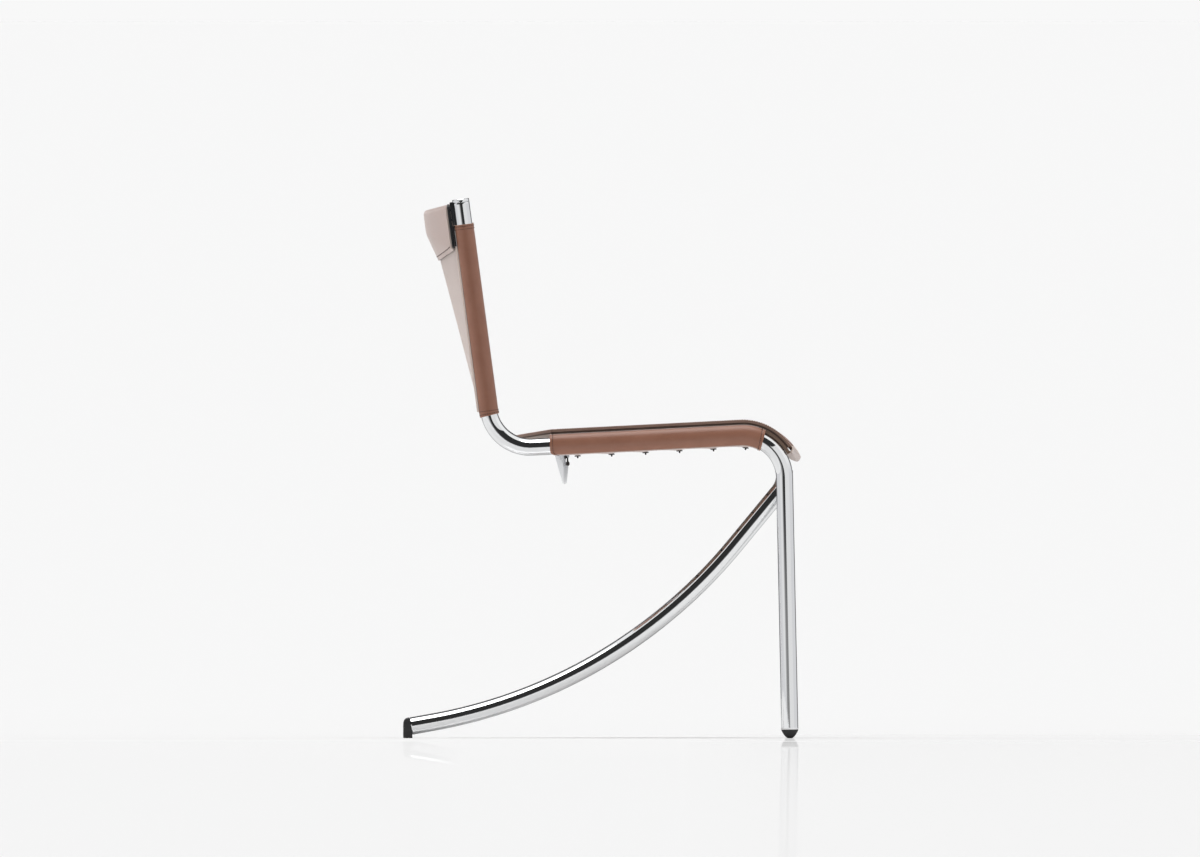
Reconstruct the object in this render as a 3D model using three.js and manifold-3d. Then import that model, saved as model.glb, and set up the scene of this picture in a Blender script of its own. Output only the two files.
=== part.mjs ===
// A side chair: a sling back and seat of saddle leather on a frame of bent chromed tube.
// Millimetres, +Z up, +X the way the sitter faces, +Y to the sitter's left, with the origin
// on the floor under the middle of the chair.

import * as THREE from "three";
import { mergeVertices } from "three/addons/utils/BufferGeometryUtils.js";
import Module from "manifold-3d";

const wasm = await Module();
wasm.setup();

// Driving sizes of the frame
const overallDepth = 578;
const frameSpacing = 460;
const railHeight = 444;
const railLength = 424.3;
const backLength = 368.2;
const railRise = THREE.MathUtils.degToRad(2.9);
const backLean = THREE.MathUtils.degToRad(7.6);
const legRake = THREE.MathUtils.degToRad(1.2);
const tubeDiameter = 25;
const tubeWall = 2;
const bendRadius = 61.4;
const footHeight = 12;
const soleCut = 0.5;
const touch = 0.3;
const weldTolerance = 1e-4;

// Rear legs
const rearLegStartAngle = THREE.MathUtils.degToRad(10);
const rearLegStraight = 85.3;
const rearLegTopBend = 40;
const rearLegWeldDrop = 74;
const rearLegWeldRun = 16;
const rearFootDepth = 11.7;
const rearFootLift = 17.3;
const rearFootKnee = 23.4;
const rearFootEdge = 1;
const crossTubeDiameter = 22;

// Caps and feet
const spigotLength = 18;
const spigotClearance = 0.9;
const capHeight = 4.4;
const capEdge = 1.2;

// Leather
const sleeveLeather = 1.3;
const plyThickness = 3.4;
const panelLeather = 2.2;
const backSleeveTop = 39.4;
const backSleeveTail = 20;
const backPanelMargin = 8;
const backPanelTop = 14;
const backBulge = 33.4;
const backBulgeLength = 278;
const bandTop = 9;
const bandEndRise = 3.8;
const bandDepth = 76;
const bandDepthEnds = 67;
const bandInset = 6;
const bandCorner = 4;

// Seat
const seatSleeveRear = 84;
const seatSleeveAngle = THREE.MathUtils.degToRad(31);
const seatEdgeOverhang = 3;
const seatRim = 5;
const seatDip = 16;
const seatRearBow = 56;
const seatFlapAngle = THREE.MathUtils.degToRad(62.5);
const seatFlapDrop = 12;
const hemLeather = 2.5;
const hemClearOfTube = 4;
const hemReturn = 30;

// Stiffeners
const plateThickness = 4;
const plateOverhang = 6;
const plateDepth = 35;
const plateDepthEnds = 65;
const spacerHeight = 35.5;
const spacerWidth = 11;
const spacerTop = 3;
const barThickness = 3.7;
const barWidth = 16;
const barSetback = 4;

// Screws of the back stiffener
const screwShank = 4;
const screwHead = 7.8;
const screwFirst = 10;
const screwPitch = 15;

// Stretcher
const stretcherRear = 89;
const stretcherEndWidth = 24;
const stretcherMidWidth = 7;
const stretcherDrop = 57.5;
const stretcherEndDrop = 10;
const stretcherSheet = 3;
const stretcherCrease = 2.5;
const slotWidth = 6;
const slotLength = 30;
const slotFromEnd = 24;

// Lacing
const flapWidth = 28;
const flapStart = 116;
const flapRamp = 2;
const flapStub = 1;
const eyeletFirst = 122;
const eyeletLast = 9.4;
const eyeletCount = 6;
const eyeletInset = 20;
const eyeletFlange = 9.6;
const eyeletFlangeSheet = 0.7;
const eyeletBarrel = 6;
const eyeletBore = 3.8;
const cordDiameter = 2;
const cordBend = 2.2;
const cordTail = 14;

const tubeRadius = tubeDiameter / 2;
const halfSpacing = frameSpacing / 2;
const sides = [
  { name: "left", sign: 1 },
  { name: "right", sign: -1 },
];

const chrome = new THREE.MeshStandardMaterial({ color: 0xd8d9da, roughness: 0.06, metalness: 1 });
const leather = new THREE.MeshStandardMaterial({ color: 0x94654f, roughness: 0.55, metalness: 0 });
const lining = new THREE.MeshStandardMaterial({ color: 0x5f4d41, roughness: 0.7, metalness: 0 });
const rubber = new THREE.MeshStandardMaterial({ color: 0x1d1d1e, roughness: 0.6, metalness: 0 });
const blackSteel = new THREE.MeshStandardMaterial({ color: 0x151416, roughness: 0.4, metalness: 0.6 });
const cordBlack = new THREE.MeshStandardMaterial({ color: 0x201a18, roughness: 0.8, metalness: 0 });

const chair = new THREE.Group();

// Adds one named piece to the chair.
function addPiece(name, geometry, material) {
  const piece = new THREE.Mesh(geometry, material);
  piece.name = name;
  chair.add(piece);
  return piece;
}

// A regular outline of a round bar or bore, with a corner on each axis.
function roundOutline(radius, corners) {
  return Array.from({ length: corners }, (_, i) => {
    const angle = (2 * Math.PI * i) / corners;
    return new THREE.Vector2(radius * Math.cos(angle), radius * Math.sin(angle));
  });
}

// The path of a bent tube: straight runs between corner points, each corner rounded by its
// own radius. Its steps lie in the bends, where they are needed, and not along the straights.
class BentPath extends THREE.Curve {
  constructor(corners, radii, stepsPerBend) {
    super();
    this.stations = [];
    const last = corners.length - 1;
    const along = (from, to) => to.clone().sub(from).normalize();
    this.stations.push({ point: corners[0], heading: along(corners[0], corners[1]) });
    for (let i = 1; i < last; i++) {
      const heading = along(corners[i - 1], corners[i]);
      const next = along(corners[i], corners[i + 1]);
      const turn = heading.angleTo(next);
      const axis = heading.clone().cross(next).normalize();
      const run = radii[i - 1] * Math.tan(turn / 2);
      const start = corners[i].clone().addScaledVector(heading, -run);
      const centre = start.clone().addScaledVector(axis.clone().cross(heading), radii[i - 1]);
      for (let k = 0; k <= stepsPerBend[i - 1]; k++) {
        const angle = (turn * k) / stepsPerBend[i - 1];
        this.stations.push({
          point: start.clone().sub(centre).applyAxisAngle(axis, angle).add(centre),
          heading: heading.clone().applyAxisAngle(axis, angle),
        });
      }
    }
    this.stations.push({ point: corners[last], heading: along(corners[last - 1], corners[last]) });
    this.steps = this.stations.length - 1;
  }

  mix(t, key) {
    const at = Math.min(Math.max(t, 0), 1) * this.steps;
    const i = Math.min(Math.floor(at + Number.EPSILON * this.steps), this.steps - 1);
    return this.stations[i][key].clone().lerp(this.stations[i + 1][key], at - i);
  }

  getPoint(t) {
    return this.mix(t, "point");
  }

  getTangent(t) {
    return this.mix(t, "heading").normalize();
  }

  getUtoTmapping(u) {
    return u;
  }
}

// A tube, or a solid bar where no bore is given, along a path.
function tubeAlong(path, radius, bore, corners = 16) {
  const section = new THREE.Shape(roundOutline(radius, corners));
  if (bore) section.holes.push(new THREE.Path(roundOutline(bore, 12)));
  return new THREE.ExtrudeGeometry(section, { extrudePath: path, steps: path.steps });
}

// A closed sheet from a grid of point pairs, one on each face. Faces point outwards.
function sheet(rows) {
  const points = rows.flat(2);
  const columns = rows[0].length;
  const at = (i, j, face) => 2 * (i * columns + j) + face;
  const index = [];
  const quad = (a, b, c, d) => index.push(a, b, c, a, c, d);
  for (let i = 0; i < rows.length - 1; i++) {
    for (let j = 0; j < columns - 1; j++) {
      quad(at(i, j, 0), at(i + 1, j, 0), at(i + 1, j + 1, 0), at(i, j + 1, 0));
      quad(at(i, j, 1), at(i, j + 1, 1), at(i + 1, j + 1, 1), at(i + 1, j, 1));
    }
    quad(at(i, 0, 0), at(i, 0, 1), at(i + 1, 0, 1), at(i + 1, 0, 0));
    const end = columns - 1;
    quad(at(i, end, 0), at(i + 1, end, 0), at(i + 1, end, 1), at(i, end, 1));
  }
  const lastRow = rows.length - 1;
  for (let j = 0; j < columns - 1; j++) {
    quad(at(0, j, 0), at(0, j + 1, 0), at(0, j + 1, 1), at(0, j, 1));
    quad(at(lastRow, j, 0), at(lastRow, j, 1), at(lastRow, j + 1, 1), at(lastRow, j + 1, 0));
  }
  const volume = index.reduce((sum, _, n) => {
    if (n % 3) return sum;
    const [a, b, c] = [0, 1, 2].map((k) => points[index[n + k]]);
    return sum + a.dot(b.clone().cross(c));
  }, 0);
  if (volume < 0) index.reverse();
  return new THREE.BufferGeometry().setFromPoints(points).setIndex(index);
}

// A geometry as a solid for joining and cutting, and back.
function toSolid(geometry) {
  const bare = new THREE.BufferGeometry();
  const flat = geometry.index ? geometry.toNonIndexed() : geometry;
  bare.setAttribute("position", flat.getAttribute("position"));
  const merged = mergeVertices(bare, weldTolerance);
  return new wasm.Manifold(
    new wasm.Mesh({
      numProp: 3,
      vertProperties: merged.attributes.position.array,
      triVerts: new Uint32Array(merged.index.array),
    }),
  );
}

function toGeometry(solid) {
  const mesh = solid.getMesh();
  return new THREE.BufferGeometry()
    .setAttribute("position", new THREE.BufferAttribute(mesh.vertProperties, 3))
    .setIndex(new THREE.BufferAttribute(mesh.triVerts, 1));
}

function cut(geometry, cutters) {
  return toGeometry(cutters.reduce((rest, c) => rest.subtract(toSolid(c)), toSolid(geometry)));
}

// A turned piece: a profile of radius and height pairs, its axis laid from a point along a
// direction.
function turned(profile, origin, direction, segments = 16) {
  const shape = new THREE.LatheGeometry(
    profile.map(([radius, height]) => new THREE.Vector2(radius, height)),
    segments,
  );
  const yAxis = new THREE.Vector3(0, 1, 0);
  shape.applyQuaternion(new THREE.Quaternion().setFromUnitVectors(yAxis, direction));
  return shape.translate(origin.x, origin.y, origin.z);
}

// The side view of the frame. Directions and corners lie in the plane of one side frame.
const railForward = new THREE.Vector3(Math.cos(railRise), 0, Math.sin(railRise));
const railUp = new THREE.Vector3(-Math.sin(railRise), 0, Math.cos(railRise));
const backUp = new THREE.Vector3(-Math.sin(backLean), 0, Math.cos(backLean));
const backRearward = new THREE.Vector3(-Math.cos(backLean), 0, -Math.sin(backLean));
const legDown = new THREE.Vector3(Math.sin(legRake), 0, -Math.cos(legRake));
const frontTurn = railForward.angleTo(legDown);
const frontBendRun = bendRadius * Math.tan(frontTurn / 2);
const rearTurn = backUp.clone().negate().angleTo(railForward);
const backSleeveBottom = backLength - bendRadius * Math.tan(rearTurn / 2);

// The stack on the rail: the sleeve's crown, the lining and the top layer.
const crownHeight = tubeRadius + touch + barThickness;
const liningHeight = crownHeight + touch;
const topHeight = liningHeight + plyThickness + touch;
const seatHeight = topHeight + plyThickness;

// The seat's front end comes just far enough to give the overall depth.
const flapEnd = bendRadius * seatFlapAngle;
const hemEnd = flapEnd + seatFlapDrop + touch + hemLeather;
const hemTurn = hemEnd / bendRadius - railRise;
const bendCentreAhead = -frontBendRun * railForward.x - bendRadius * railUp.x;
const frontReach = bendCentreAhead + (bendRadius + seatHeight) * Math.sin(hemTurn);
const frontCorner = new THREE.Vector3(overallDepth / 2 - frontReach, 0, railHeight);
const rearCorner = frontCorner.clone().addScaledVector(railForward, -railLength);
const backTop = rearCorner.clone().addScaledVector(backUp, backLength);
const legLength = (railHeight - footHeight) / Math.cos(legRake);
const legFoot = frontCorner.clone().addScaledVector(legDown, legLength);
const bendStart = frontCorner.clone().addScaledVector(railForward, -frontBendRun);
const bendCentre = bendStart.clone().addScaledVector(railUp, -bendRadius);

// A point over the rail: along it from the start of the front bend, at a height square to
// its axis, at a place across the chair. Past the bend's start it follows the bend.
function railPoint(along, height, across) {
  const angle = Math.max(along, 0) / bendRadius;
  const square = railUp.clone().applyAxisAngle(new THREE.Vector3(0, 1, 0), angle);
  const point = bendCentre.clone().addScaledVector(square, bendRadius + height);
  point.addScaledVector(railForward, Math.min(along, 0));
  return point.setY(across);
}

// The same from the rail's rear corner, which is how places on the straight rail are given.
const fromRearCorner = (distance) => distance - (railLength - frontBendRun);

// A point behind the back tube's axis: down from its top, square to it, across the chair.
function backPoint(down, rearward, across) {
  const point = backTop.clone().addScaledVector(backUp, -down);
  return point.addScaledVector(backRearward, rearward).setY(across);
}

// Side frames: back upright, seat rail and front leg in one bent tube.
const tubeBore = tubeRadius - tubeWall;
const spigotRadius = tubeBore - spigotClearance;
const frameStart = backTop.clone().addScaledVector(backUp, -capHeight - touch);
const frameEnd = legFoot.clone().addScaledVector(legDown, -touch);
const framePath = new BentPath(
  [frameStart, rearCorner, frontCorner, frameEnd],
  [bendRadius, bendRadius],
  [9, 9],
);

// Screws of the back stiffener, one above the other at each end.
const plateFront = tubeRadius + touch + sleeveLeather + touch + panelLeather + touch;
const plateRear = plateFront + plateThickness;
const screwPlaces = [0, 1].map((i) => spacerTop + screwFirst + i * screwPitch);
const headHeight = (screwHead - screwShank) / 2;
const screwLength = plateRear - touch - tubeBore;

function screwProfile(clearance) {
  const head = screwHead / 2 + clearance;
  const shank = screwShank / 2 + clearance;
  const top = clearance ? touch : 0;
  const length = screwLength + clearance;
  return [
    [0, top],
    [head, top],
    [head, 0],
    [shank, -headHeight],
    [shank, -length],
    [0, -length],
  ].reverse();
}

const screwAt = (down, across, clearance) =>
  turned(screwProfile(clearance), backPoint(down, plateRear - touch, across), backRearward, 10);

const screwHoles = (across) => screwPlaces.map((down) => screwAt(down, across, touch));

for (const { name, sign } of sides) {
  const across = sign * halfSpacing;
  const tube = tubeAlong(framePath, tubeRadius, tubeBore).translate(0, across, 0);
  addPiece(`side_frame_${name}`, cut(tube, screwHoles(across)), chrome);
}

// Rear legs: one long curve up from the floor and a straight run to the front leg, where the
// tube turns up along the leg's inner side and is welded to it.
const rearLegStart = new THREE.Vector3(rearFootDepth - overallDepth / 2, 0, rearFootLift);
const rearLegAxis = new THREE.Vector3(Math.cos(rearLegStartAngle), 0, Math.sin(rearLegStartAngle));
const weldCorner = frontCorner.clone().addScaledVector(legDown, rearLegWeldDrop);
const weldEnd = weldCorner.clone().addScaledVector(legDown, -rearLegWeldRun);
const legSpan = weldCorner.clone().sub(rearLegStart);
const sweepRun =
  (legSpan.lengthSq() - rearLegStraight ** 2) / (2 * (legSpan.dot(rearLegAxis) + rearLegStraight));
const sweepCorner = rearLegStart.clone().addScaledVector(rearLegAxis, sweepRun);
const sweepTurn = weldCorner.clone().sub(sweepCorner).angleTo(rearLegAxis);
const sweepRadius = sweepRun / Math.tan(sweepTurn / 2);
const topBendSteps = 5;
const rearLegPath = new BentPath(
  [rearLegStart, sweepCorner, weldCorner, weldEnd],
  [sweepRadius, rearLegTopBend],
  [11, topBendSteps],
);
const rearLegAcross = halfSpacing - tubeDiameter - touch;

for (const { name, sign } of sides) {
  const leg = addPiece(`rear_leg_${name}`, tubeAlong(rearLegPath, tubeRadius, tubeBore), chrome);
  leg.position.y = sign * rearLegAcross;
}

// Cross tube: holds the two rear legs apart just under the seat, in the middle of their bends.
const crossTubeEnd = rearLegAcross - tubeRadius - touch;
const crossTubeStation = rearLegPath.steps - Math.ceil(topBendSteps / 2);
const crossTubeMiddle = rearLegPath.stations[crossTubeStation].point;
const crossTubeEnds = [-crossTubeEnd, crossTubeEnd].map((y) => crossTubeMiddle.clone().setY(y));
const crossTubeLine = new THREE.LineCurve3(...crossTubeEnds);
crossTubeLine.steps = 1;
const crossTubeRadius = crossTubeDiameter / 2;
const crossTube = tubeAlong(crossTubeLine, crossTubeRadius, crossTubeRadius - tubeWall);
addPiece("leg_cross_tube", crossTube, chrome);

// Caps in the tops of the side frames, and plain discs welded on the tops of the rear legs.
const capRim = [
  [tubeRadius, 0],
  [tubeRadius, capHeight - capEdge],
  [tubeRadius - capEdge, capHeight],
  [0, capHeight],
];
const capProfile = [[0, -spigotLength], [spigotRadius, -spigotLength], [spigotRadius, 0], ...capRim];

// Round feet in the front legs, cut flat where they stand.
const domeShares = [0, 0.2, 0.4, 0.6, 0.8, 1];
const frontFootProfile = [
  ...domeShares.map((share) => {
    const angle = (share * Math.PI) / 2;
    return [tubeRadius * Math.sin(angle), -tubeRadius * Math.cos(angle)];
  }),
  [spigotRadius, 0],
  [spigotRadius, spigotLength],
  [0, spigotLength],
];
const floorBlock = new THREE.BoxGeometry(tubeDiameter * 2, tubeDiameter * 2, tubeDiameter);
const footCentre = legFoot.clone();
floorBlock.translate(footCentre.x, 0, tubeDiameter / -2 + footHeight - tubeRadius + soleCut);

// Flat feet of the rear legs: a block whose sole lies on the floor, with a spigot in the tube.
const tubeEndUp = new THREE.Vector3(-rearLegAxis.z, 0, rearLegAxis.x);
const footSeat = rearLegStart.clone().addScaledVector(rearLegAxis, -touch);
const seatTop = footSeat.clone().addScaledVector(tubeEndUp, tubeRadius);
const seatBottom = footSeat.clone().addScaledVector(tubeEndUp, -tubeRadius);
const rearX = -overallDepth / 2;
const rearFootOutline = new THREE.Shape()
  .moveTo(seatBottom.x, 0)
  .lineTo(seatBottom.x, seatBottom.z)
  .lineTo(seatTop.x, seatTop.z)
  .quadraticCurveTo(rearX, seatTop.z, rearX, rearFootKnee)
  .lineTo(rearX, rearFootEdge)
  .lineTo(rearX + rearFootEdge, 0);
const rearFootBlock = new THREE.ExtrudeGeometry(rearFootOutline, {
  depth: tubeDiameter,
  bevelEnabled: false,
  curveSegments: 4,
});
rearFootBlock.rotateX(Math.PI / 2).translate(0, tubeRadius, 0);
const sunk = footSeat.clone().addScaledVector(rearLegAxis, -touch);
const rearSpigot = turned(
  [
    [0, 0],
    [spigotRadius, 0],
    [spigotRadius, spigotLength],
    [0, spigotLength],
  ],
  sunk,
  rearLegAxis,
);
const rearFoot = toGeometry(toSolid(rearFootBlock).add(toSolid(rearSpigot)));

const legUp = legDown.clone().negate();
const frameCap = turned(capProfile, frameStart.clone().addScaledVector(backUp, touch), backUp);
const legCap = turned([[0, 0], ...capRim], weldEnd.clone().addScaledVector(legUp, touch), legUp);
const frontFoot = cut(turned(frontFootProfile, footCentre, legUp), [floorBlock]);

for (const { name, sign } of sides) {
  const across = sign * halfSpacing;
  const legAcross = sign * rearLegAcross;
  addPiece(`tube_cap_${name}`, frameCap, chrome).position.y = across;
  addPiece(`rear_leg_cap_${name}`, legCap, chrome).position.y = legAcross;
  addPiece(`front_foot_${name}`, frontFoot, rubber).position.y = across;
  addPiece(`rear_foot_${name}`, rearFoot, rubber).position.y = legAcross;
}

// Back sleeves: leather round the back tubes, with a tail sewn to the panel.
const sleeveInner = tubeRadius + touch;
const sleeveOuter = sleeveInner + sleeveLeather;

function backSleeve(sign) {
  const start = Math.acos(sleeveInner / sleeveOuter);
  const turns = Array.from({ length: 19 }, (_, i) => start + ((2 * Math.PI - start) * i) / 18);
  const wrap = turns.map((a) => [-sleeveOuter * Math.sin(a), sleeveOuter * Math.cos(a)]);
  const outline = [[-backSleeveTail, sleeveOuter], [-backSleeveTail, sleeveInner], ...wrap];
  const section = new THREE.Shape(outline.map(([x, y]) => new THREE.Vector2(sign * x, y)));
  section.holes.push(new THREE.Path(roundOutline(sleeveInner, 16)));
  const length = backSleeveBottom - backSleeveTop;
  const sleeve = new THREE.ExtrudeGeometry(section, { depth: length, bevelEnabled: false });
  const across = new THREE.Vector3(0, 1, 0);
  const frame = new THREE.Matrix4().makeBasis(across, backRearward, backUp);
  frame.setPosition(backPoint(backSleeveBottom, 0, sign * halfSpacing));
  return sleeve.applyMatrix4(frame);
}

// The back's cross curve, flat over the tubes and bowed rearward between them.
const bowHalf = halfSpacing - bandInset;
const bowAt = (across) => Math.max(0, 1 - (across / bowHalf) ** 2);
const panelFront = sleeveOuter + touch;
const panelRear = panelFront + panelLeather;
const bulgeAt = (down) => backBulge * Math.max(0, 1 - (down / backBulgeLength) ** 1.1);
const panelHalf = halfSpacing + backPanelMargin;
const acrossShares = [0, 0.14, 0.29, 0.45, 0.61, 0.76, 0.88];
const mirrored = (list) => [...list.map((v) => -v).reverse(), ...list.slice(1)];

const backColumns = mirrored([...acrossShares.map((share) => share * bowHalf), bowHalf, panelHalf]);
const downShares = [0, 0.11, 0.24, 0.38, 0.52, 0.66, 0.82, 1];
const backPanelRows = downShares.map((share) =>
  backColumns.map((across) => {
    const top = Math.abs(across) > bowHalf - bandInset ? backSleeveTop : backPanelTop;
    const down = top + share * (backSleeveBottom - top);
    const bow = bulgeAt(down) * bowAt(across);
    return [backPoint(down, panelRear + bow, across), backPoint(down, panelFront + bow, across)];
  }),
);

// Headband: the leather folded over the top of the stiffener and sewn down behind it.
const bandColumns = mirrored([...acrossShares.map((share) => share * bowHalf), bowHalf]);
const endShare = (across) => Math.min(1, (across / bowHalf) ** 2);
const bandTopAt = (across) => bandTop - bandEndRise * endShare(across);
const plateBow = backBulge - touch;
const plateDepthAt = (across) => THREE.MathUtils.lerp(plateDepth, plateDepthEnds, endShare(across));
const bandDepthAt = (across) => THREE.MathUtils.lerp(bandDepth, bandDepthEnds, endShare(across));

const headbandRows = bandColumns.map((across) => {
  const bow = plateBow * bowAt(across);
  const top = bandTopAt(across);
  const front = panelFront + bulgeAt(top) * bowAt(across);
  const rear = plateRear + touch + bow;
  const plateEnd = top + plateDepthAt(across);
  const seam = top + bandDepthAt(across);
  const seamInner = panelRear + 2 * touch + bulgeAt(seam) * bowAt(across);
  const inner = [
    [top + panelLeather, front],
    [top + panelLeather, rear],
    [top + bandCorner, rear],
    [plateEnd, rear],
    [seam, seamInner],
  ];
  const outer = [
    [top, front],
    [top + bandCorner / 4, rear + panelLeather / 2],
    [top + bandCorner, rear + panelLeather],
    [plateEnd, rear + panelLeather],
    [seam, seamInner + panelLeather],
  ];
  return inner.map(([down, n], i) => [backPoint(...outer[i], across), backPoint(down, n, across)]);
});

// Back stiffener: a curved plate in the headband, held off each tube by a spacer.
const plateColumns = mirrored([
  ...acrossShares.map((share) => share * bowHalf),
  bowHalf,
  halfSpacing + plateOverhang,
]);
const plateRows = plateColumns.map((across) => {
  const bow = plateBow * bowAt(across);
  const inBand = Math.abs(across) <= bowHalf;
  const top = bandTopAt(across) + (inBand ? panelLeather + touch : 0);
  const bottom = bandTopAt(across) + plateDepthAt(across) - touch;
  return [top, bottom].map((down) => [
    backPoint(down, plateRear + bow, across),
    backPoint(down, plateFront + bow, across),
  ]);
});
const plateHoles = sides.flatMap(({ sign }) => screwHoles(sign * halfSpacing));
addPiece("back_stiffener", cut(sheet(plateRows), plateHoles), blackSteel);
addPiece("back_headband", sheet(headbandRows), leather);
addPiece("back_panel", sheet(backPanelRows), leather);

for (const { name, sign } of sides) {
  addPiece(`back_sleeve_${name}`, backSleeve(sign), leather);
  const across = sign * halfSpacing;
  const spacer = new THREE.BoxGeometry(plateFront - tubeRadius - 2 * touch, spacerWidth, spacerHeight);
  spacer.rotateY(-backLean);
  const middle = backPoint(spacerTop + spacerHeight / 2, (plateFront + tubeRadius) / 2, across);
  spacer.translate(middle.x, middle.y, middle.z);
  addPiece(`stiffener_spacer_${name}`, cut(spacer, screwHoles(across)), blackSteel);
  screwPlaces.forEach((down, i) => {
    addPiece(`stiffener_screw_${name}_${i + 1}`, screwAt(down, across, 0), blackSteel);
  });
}

// Seat: a lining and a top layer, dished between the rails, bowed back at the rear edge and
// turned down over the front bends.
const seatHalf = halfSpacing + seatEdgeOverhang;
const dishHalf = seatHalf - seatRim;
const dishAt = (across) => Math.max(0, 1 - (across / dishHalf) ** 2);
const sleeveEnd = bendRadius * seatSleeveAngle;
const barEnd = flapEnd - barSetback;
const barStart = barEnd - barWidth;
const rearDipShare = 0.45;

function dipAt(along) {
  if (along > 0) return seatDip * rearDipShare * Math.max(0, 1 - along / sleeveEnd);
  const middle = fromRearCorner(seatSleeveRear) / 2;
  const share = Math.min(1, Math.abs(along / middle - 1));
  return seatDip * (1 - (1 - rearDipShare) * share ** 2);
}

const seatColumns = mirrored([...acrossShares.map((share) => share * dishHalf), dishHalf, seatHalf]);
const straightShares = [0, 0.12, 0.3, 0.5, 0.7, 0.86];
const bendShares = [0, 0.13, 0.25, 0.37, 0.49, 0.61, 0.72, 0.83, 0.92, 1];

function seatLayer(bottom) {
  const strip = (along, across) => {
    const dip = dipAt(along) * dishAt(across);
    return [
      railPoint(along, bottom + plyThickness - dip, across),
      railPoint(along, bottom - dip, across),
    ];
  };
  const rear = (across) => fromRearCorner(seatSleeveRear) - seatRearBow * dishAt(across);
  const front = (across) => flapEnd + seatFlapDrop * dishAt(across);
  return sheet([
    ...straightShares.map((s) => seatColumns.map((y) => strip(rear(y) * (1 - s), y))),
    ...bendShares.map((s) => seatColumns.map((y) => strip(front(y) * s, y))),
  ]);
}

addPiece("seat_lining", seatLayer(liningHeight), lining);
addPiece("seat_panel", seatLayer(topHeight), leather);

// Front bar in the hem: sits on both tube bends and keeps the front edge wide.
const barRows = seatColumns.map((across) =>
  [barStart, (barStart + barEnd) / 2, barEnd].map((edge) => {
    const along = edge + seatFlapDrop * dishAt(across);
    return [railPoint(along, crownHeight, across), railPoint(along, tubeRadius + touch, across)];
  }),
);
addPiece("seat_front_stiffener", sheet(barRows), blackSteel);

// Front hem: closes the front edge and turns back under the bar, between the tubes.
const hemHalf = halfSpacing - tubeRadius - hemClearOfTube;
const hemRows = mirrored(acrossShares.map((share) => share * hemHalf).concat(hemHalf)).map((across) => {
  const end = flapEnd + seatFlapDrop * dishAt(across) + touch;
  const under = tubeRadius - hemLeather;
  const outer = [
    [end + hemLeather * 0.4, seatHeight],
    [end + hemLeather, seatHeight - hemLeather],
    [end + hemLeather, under + hemLeather],
    [end, under],
    [end - hemReturn, under],
  ];
  const inner = [
    [end, seatHeight],
    [end, seatHeight - hemLeather],
    [end, under + 2 * hemLeather],
    [end - hemLeather, tubeRadius],
    [end - hemReturn, tubeRadius],
  ];
  return outer.map(([along, height], i) => [
    railPoint(along, height, across),
    railPoint(...inner[i], across),
  ]);
});
addPiece("seat_front_hem", sheet(hemRows), leather);

// Seat sleeves: leather from under the seat's edge, round the outside of the rail, to a flap
// underneath that carries the eyelets.
const wrapSteps = 11;
const wrapAngles = Array.from({ length: wrapSteps + 1 }, (_, i) =>
  THREE.MathUtils.degToRad(THREE.MathUtils.lerp(140, -90, i / wrapSteps)),
);
const sleeveStations = [
  [fromRearCorner(seatSleeveRear), flapStub],
  [fromRearCorner(flapStart - flapRamp), flapStub],
  [fromRearCorner(flapStart), flapWidth],
  [0, flapWidth],
  [sleeveEnd / 3, flapWidth],
  [(2 * sleeveEnd) / 3, flapWidth * 0.8],
  [sleeveEnd, flapWidth / 2],
];

function seatSleeve(sign) {
  return sheet(
    sleeveStations.map(([along, flap]) => [
      ...wrapAngles.map((angle) => {
        const [across, height] = [Math.cos(angle), Math.sin(angle)];
        const crown = height > 0 ? crownHeight : sleeveOuter;
        return [
          railPoint(along, crown * height, sign * (halfSpacing + sleeveOuter * across)),
          railPoint(along, sleeveInner * height, sign * (halfSpacing + sleeveInner * across)),
        ];
      }),
      [-sleeveOuter, -sleeveInner].map((h) => railPoint(along, h, sign * (halfSpacing - flap))),
    ]),
  );
}

// Eyelets in the flaps, each clenched from below. The last lies just past the start of the
// front bend.
const eyeletAcross = halfSpacing - eyeletInset;
const eyeletPlaces = Array.from({ length: eyeletCount }, (_, i) =>
  THREE.MathUtils.lerp(fromRearCorner(eyeletFirst), eyeletLast, i / (eyeletCount - 1)),
);
const flangeTop = -sleeveOuter - 2 * touch;
const flangeBottom = flangeTop - eyeletFlangeSheet;
const eyeletTop = -sleeveInner + touch;

function eyeletAt(along, across, profile) {
  const axisUp = railPoint(along, 0, across).sub(railPoint(along, -tubeRadius, across)).normalize();
  return turned(profile, railPoint(along, 0, across), axisUp, 8);
}

const eyeletProfile = [
  [eyeletBore / 2, flangeBottom],
  [eyeletFlange / 2, flangeBottom],
  [eyeletFlange / 2, flangeTop],
  [eyeletBarrel / 2, flangeTop],
  [eyeletBarrel / 2, eyeletTop],
  [eyeletBore / 2, eyeletTop],
  [eyeletBore / 2, flangeBottom],
];
const holeProfile = [
  [0, flangeBottom],
  [eyeletBarrel / 2 + touch, flangeBottom],
  [eyeletBarrel / 2 + touch, eyeletTop + touch],
  [0, eyeletTop + touch],
];

for (const { name, sign } of sides) {
  const holes = eyeletPlaces.map((along) => eyeletAt(along, sign * eyeletAcross, holeProfile));
  addPiece(`seat_sleeve_${name}`, cut(seatSleeve(sign), holes), leather);
  eyeletPlaces.forEach((along, i) => {
    const eyelet = eyeletAt(along, sign * eyeletAcross, eyeletProfile);
    addPiece(`lacing_eyelet_${name}_${i + 1}`, eyelet, blackSteel);
  });
}

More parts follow.
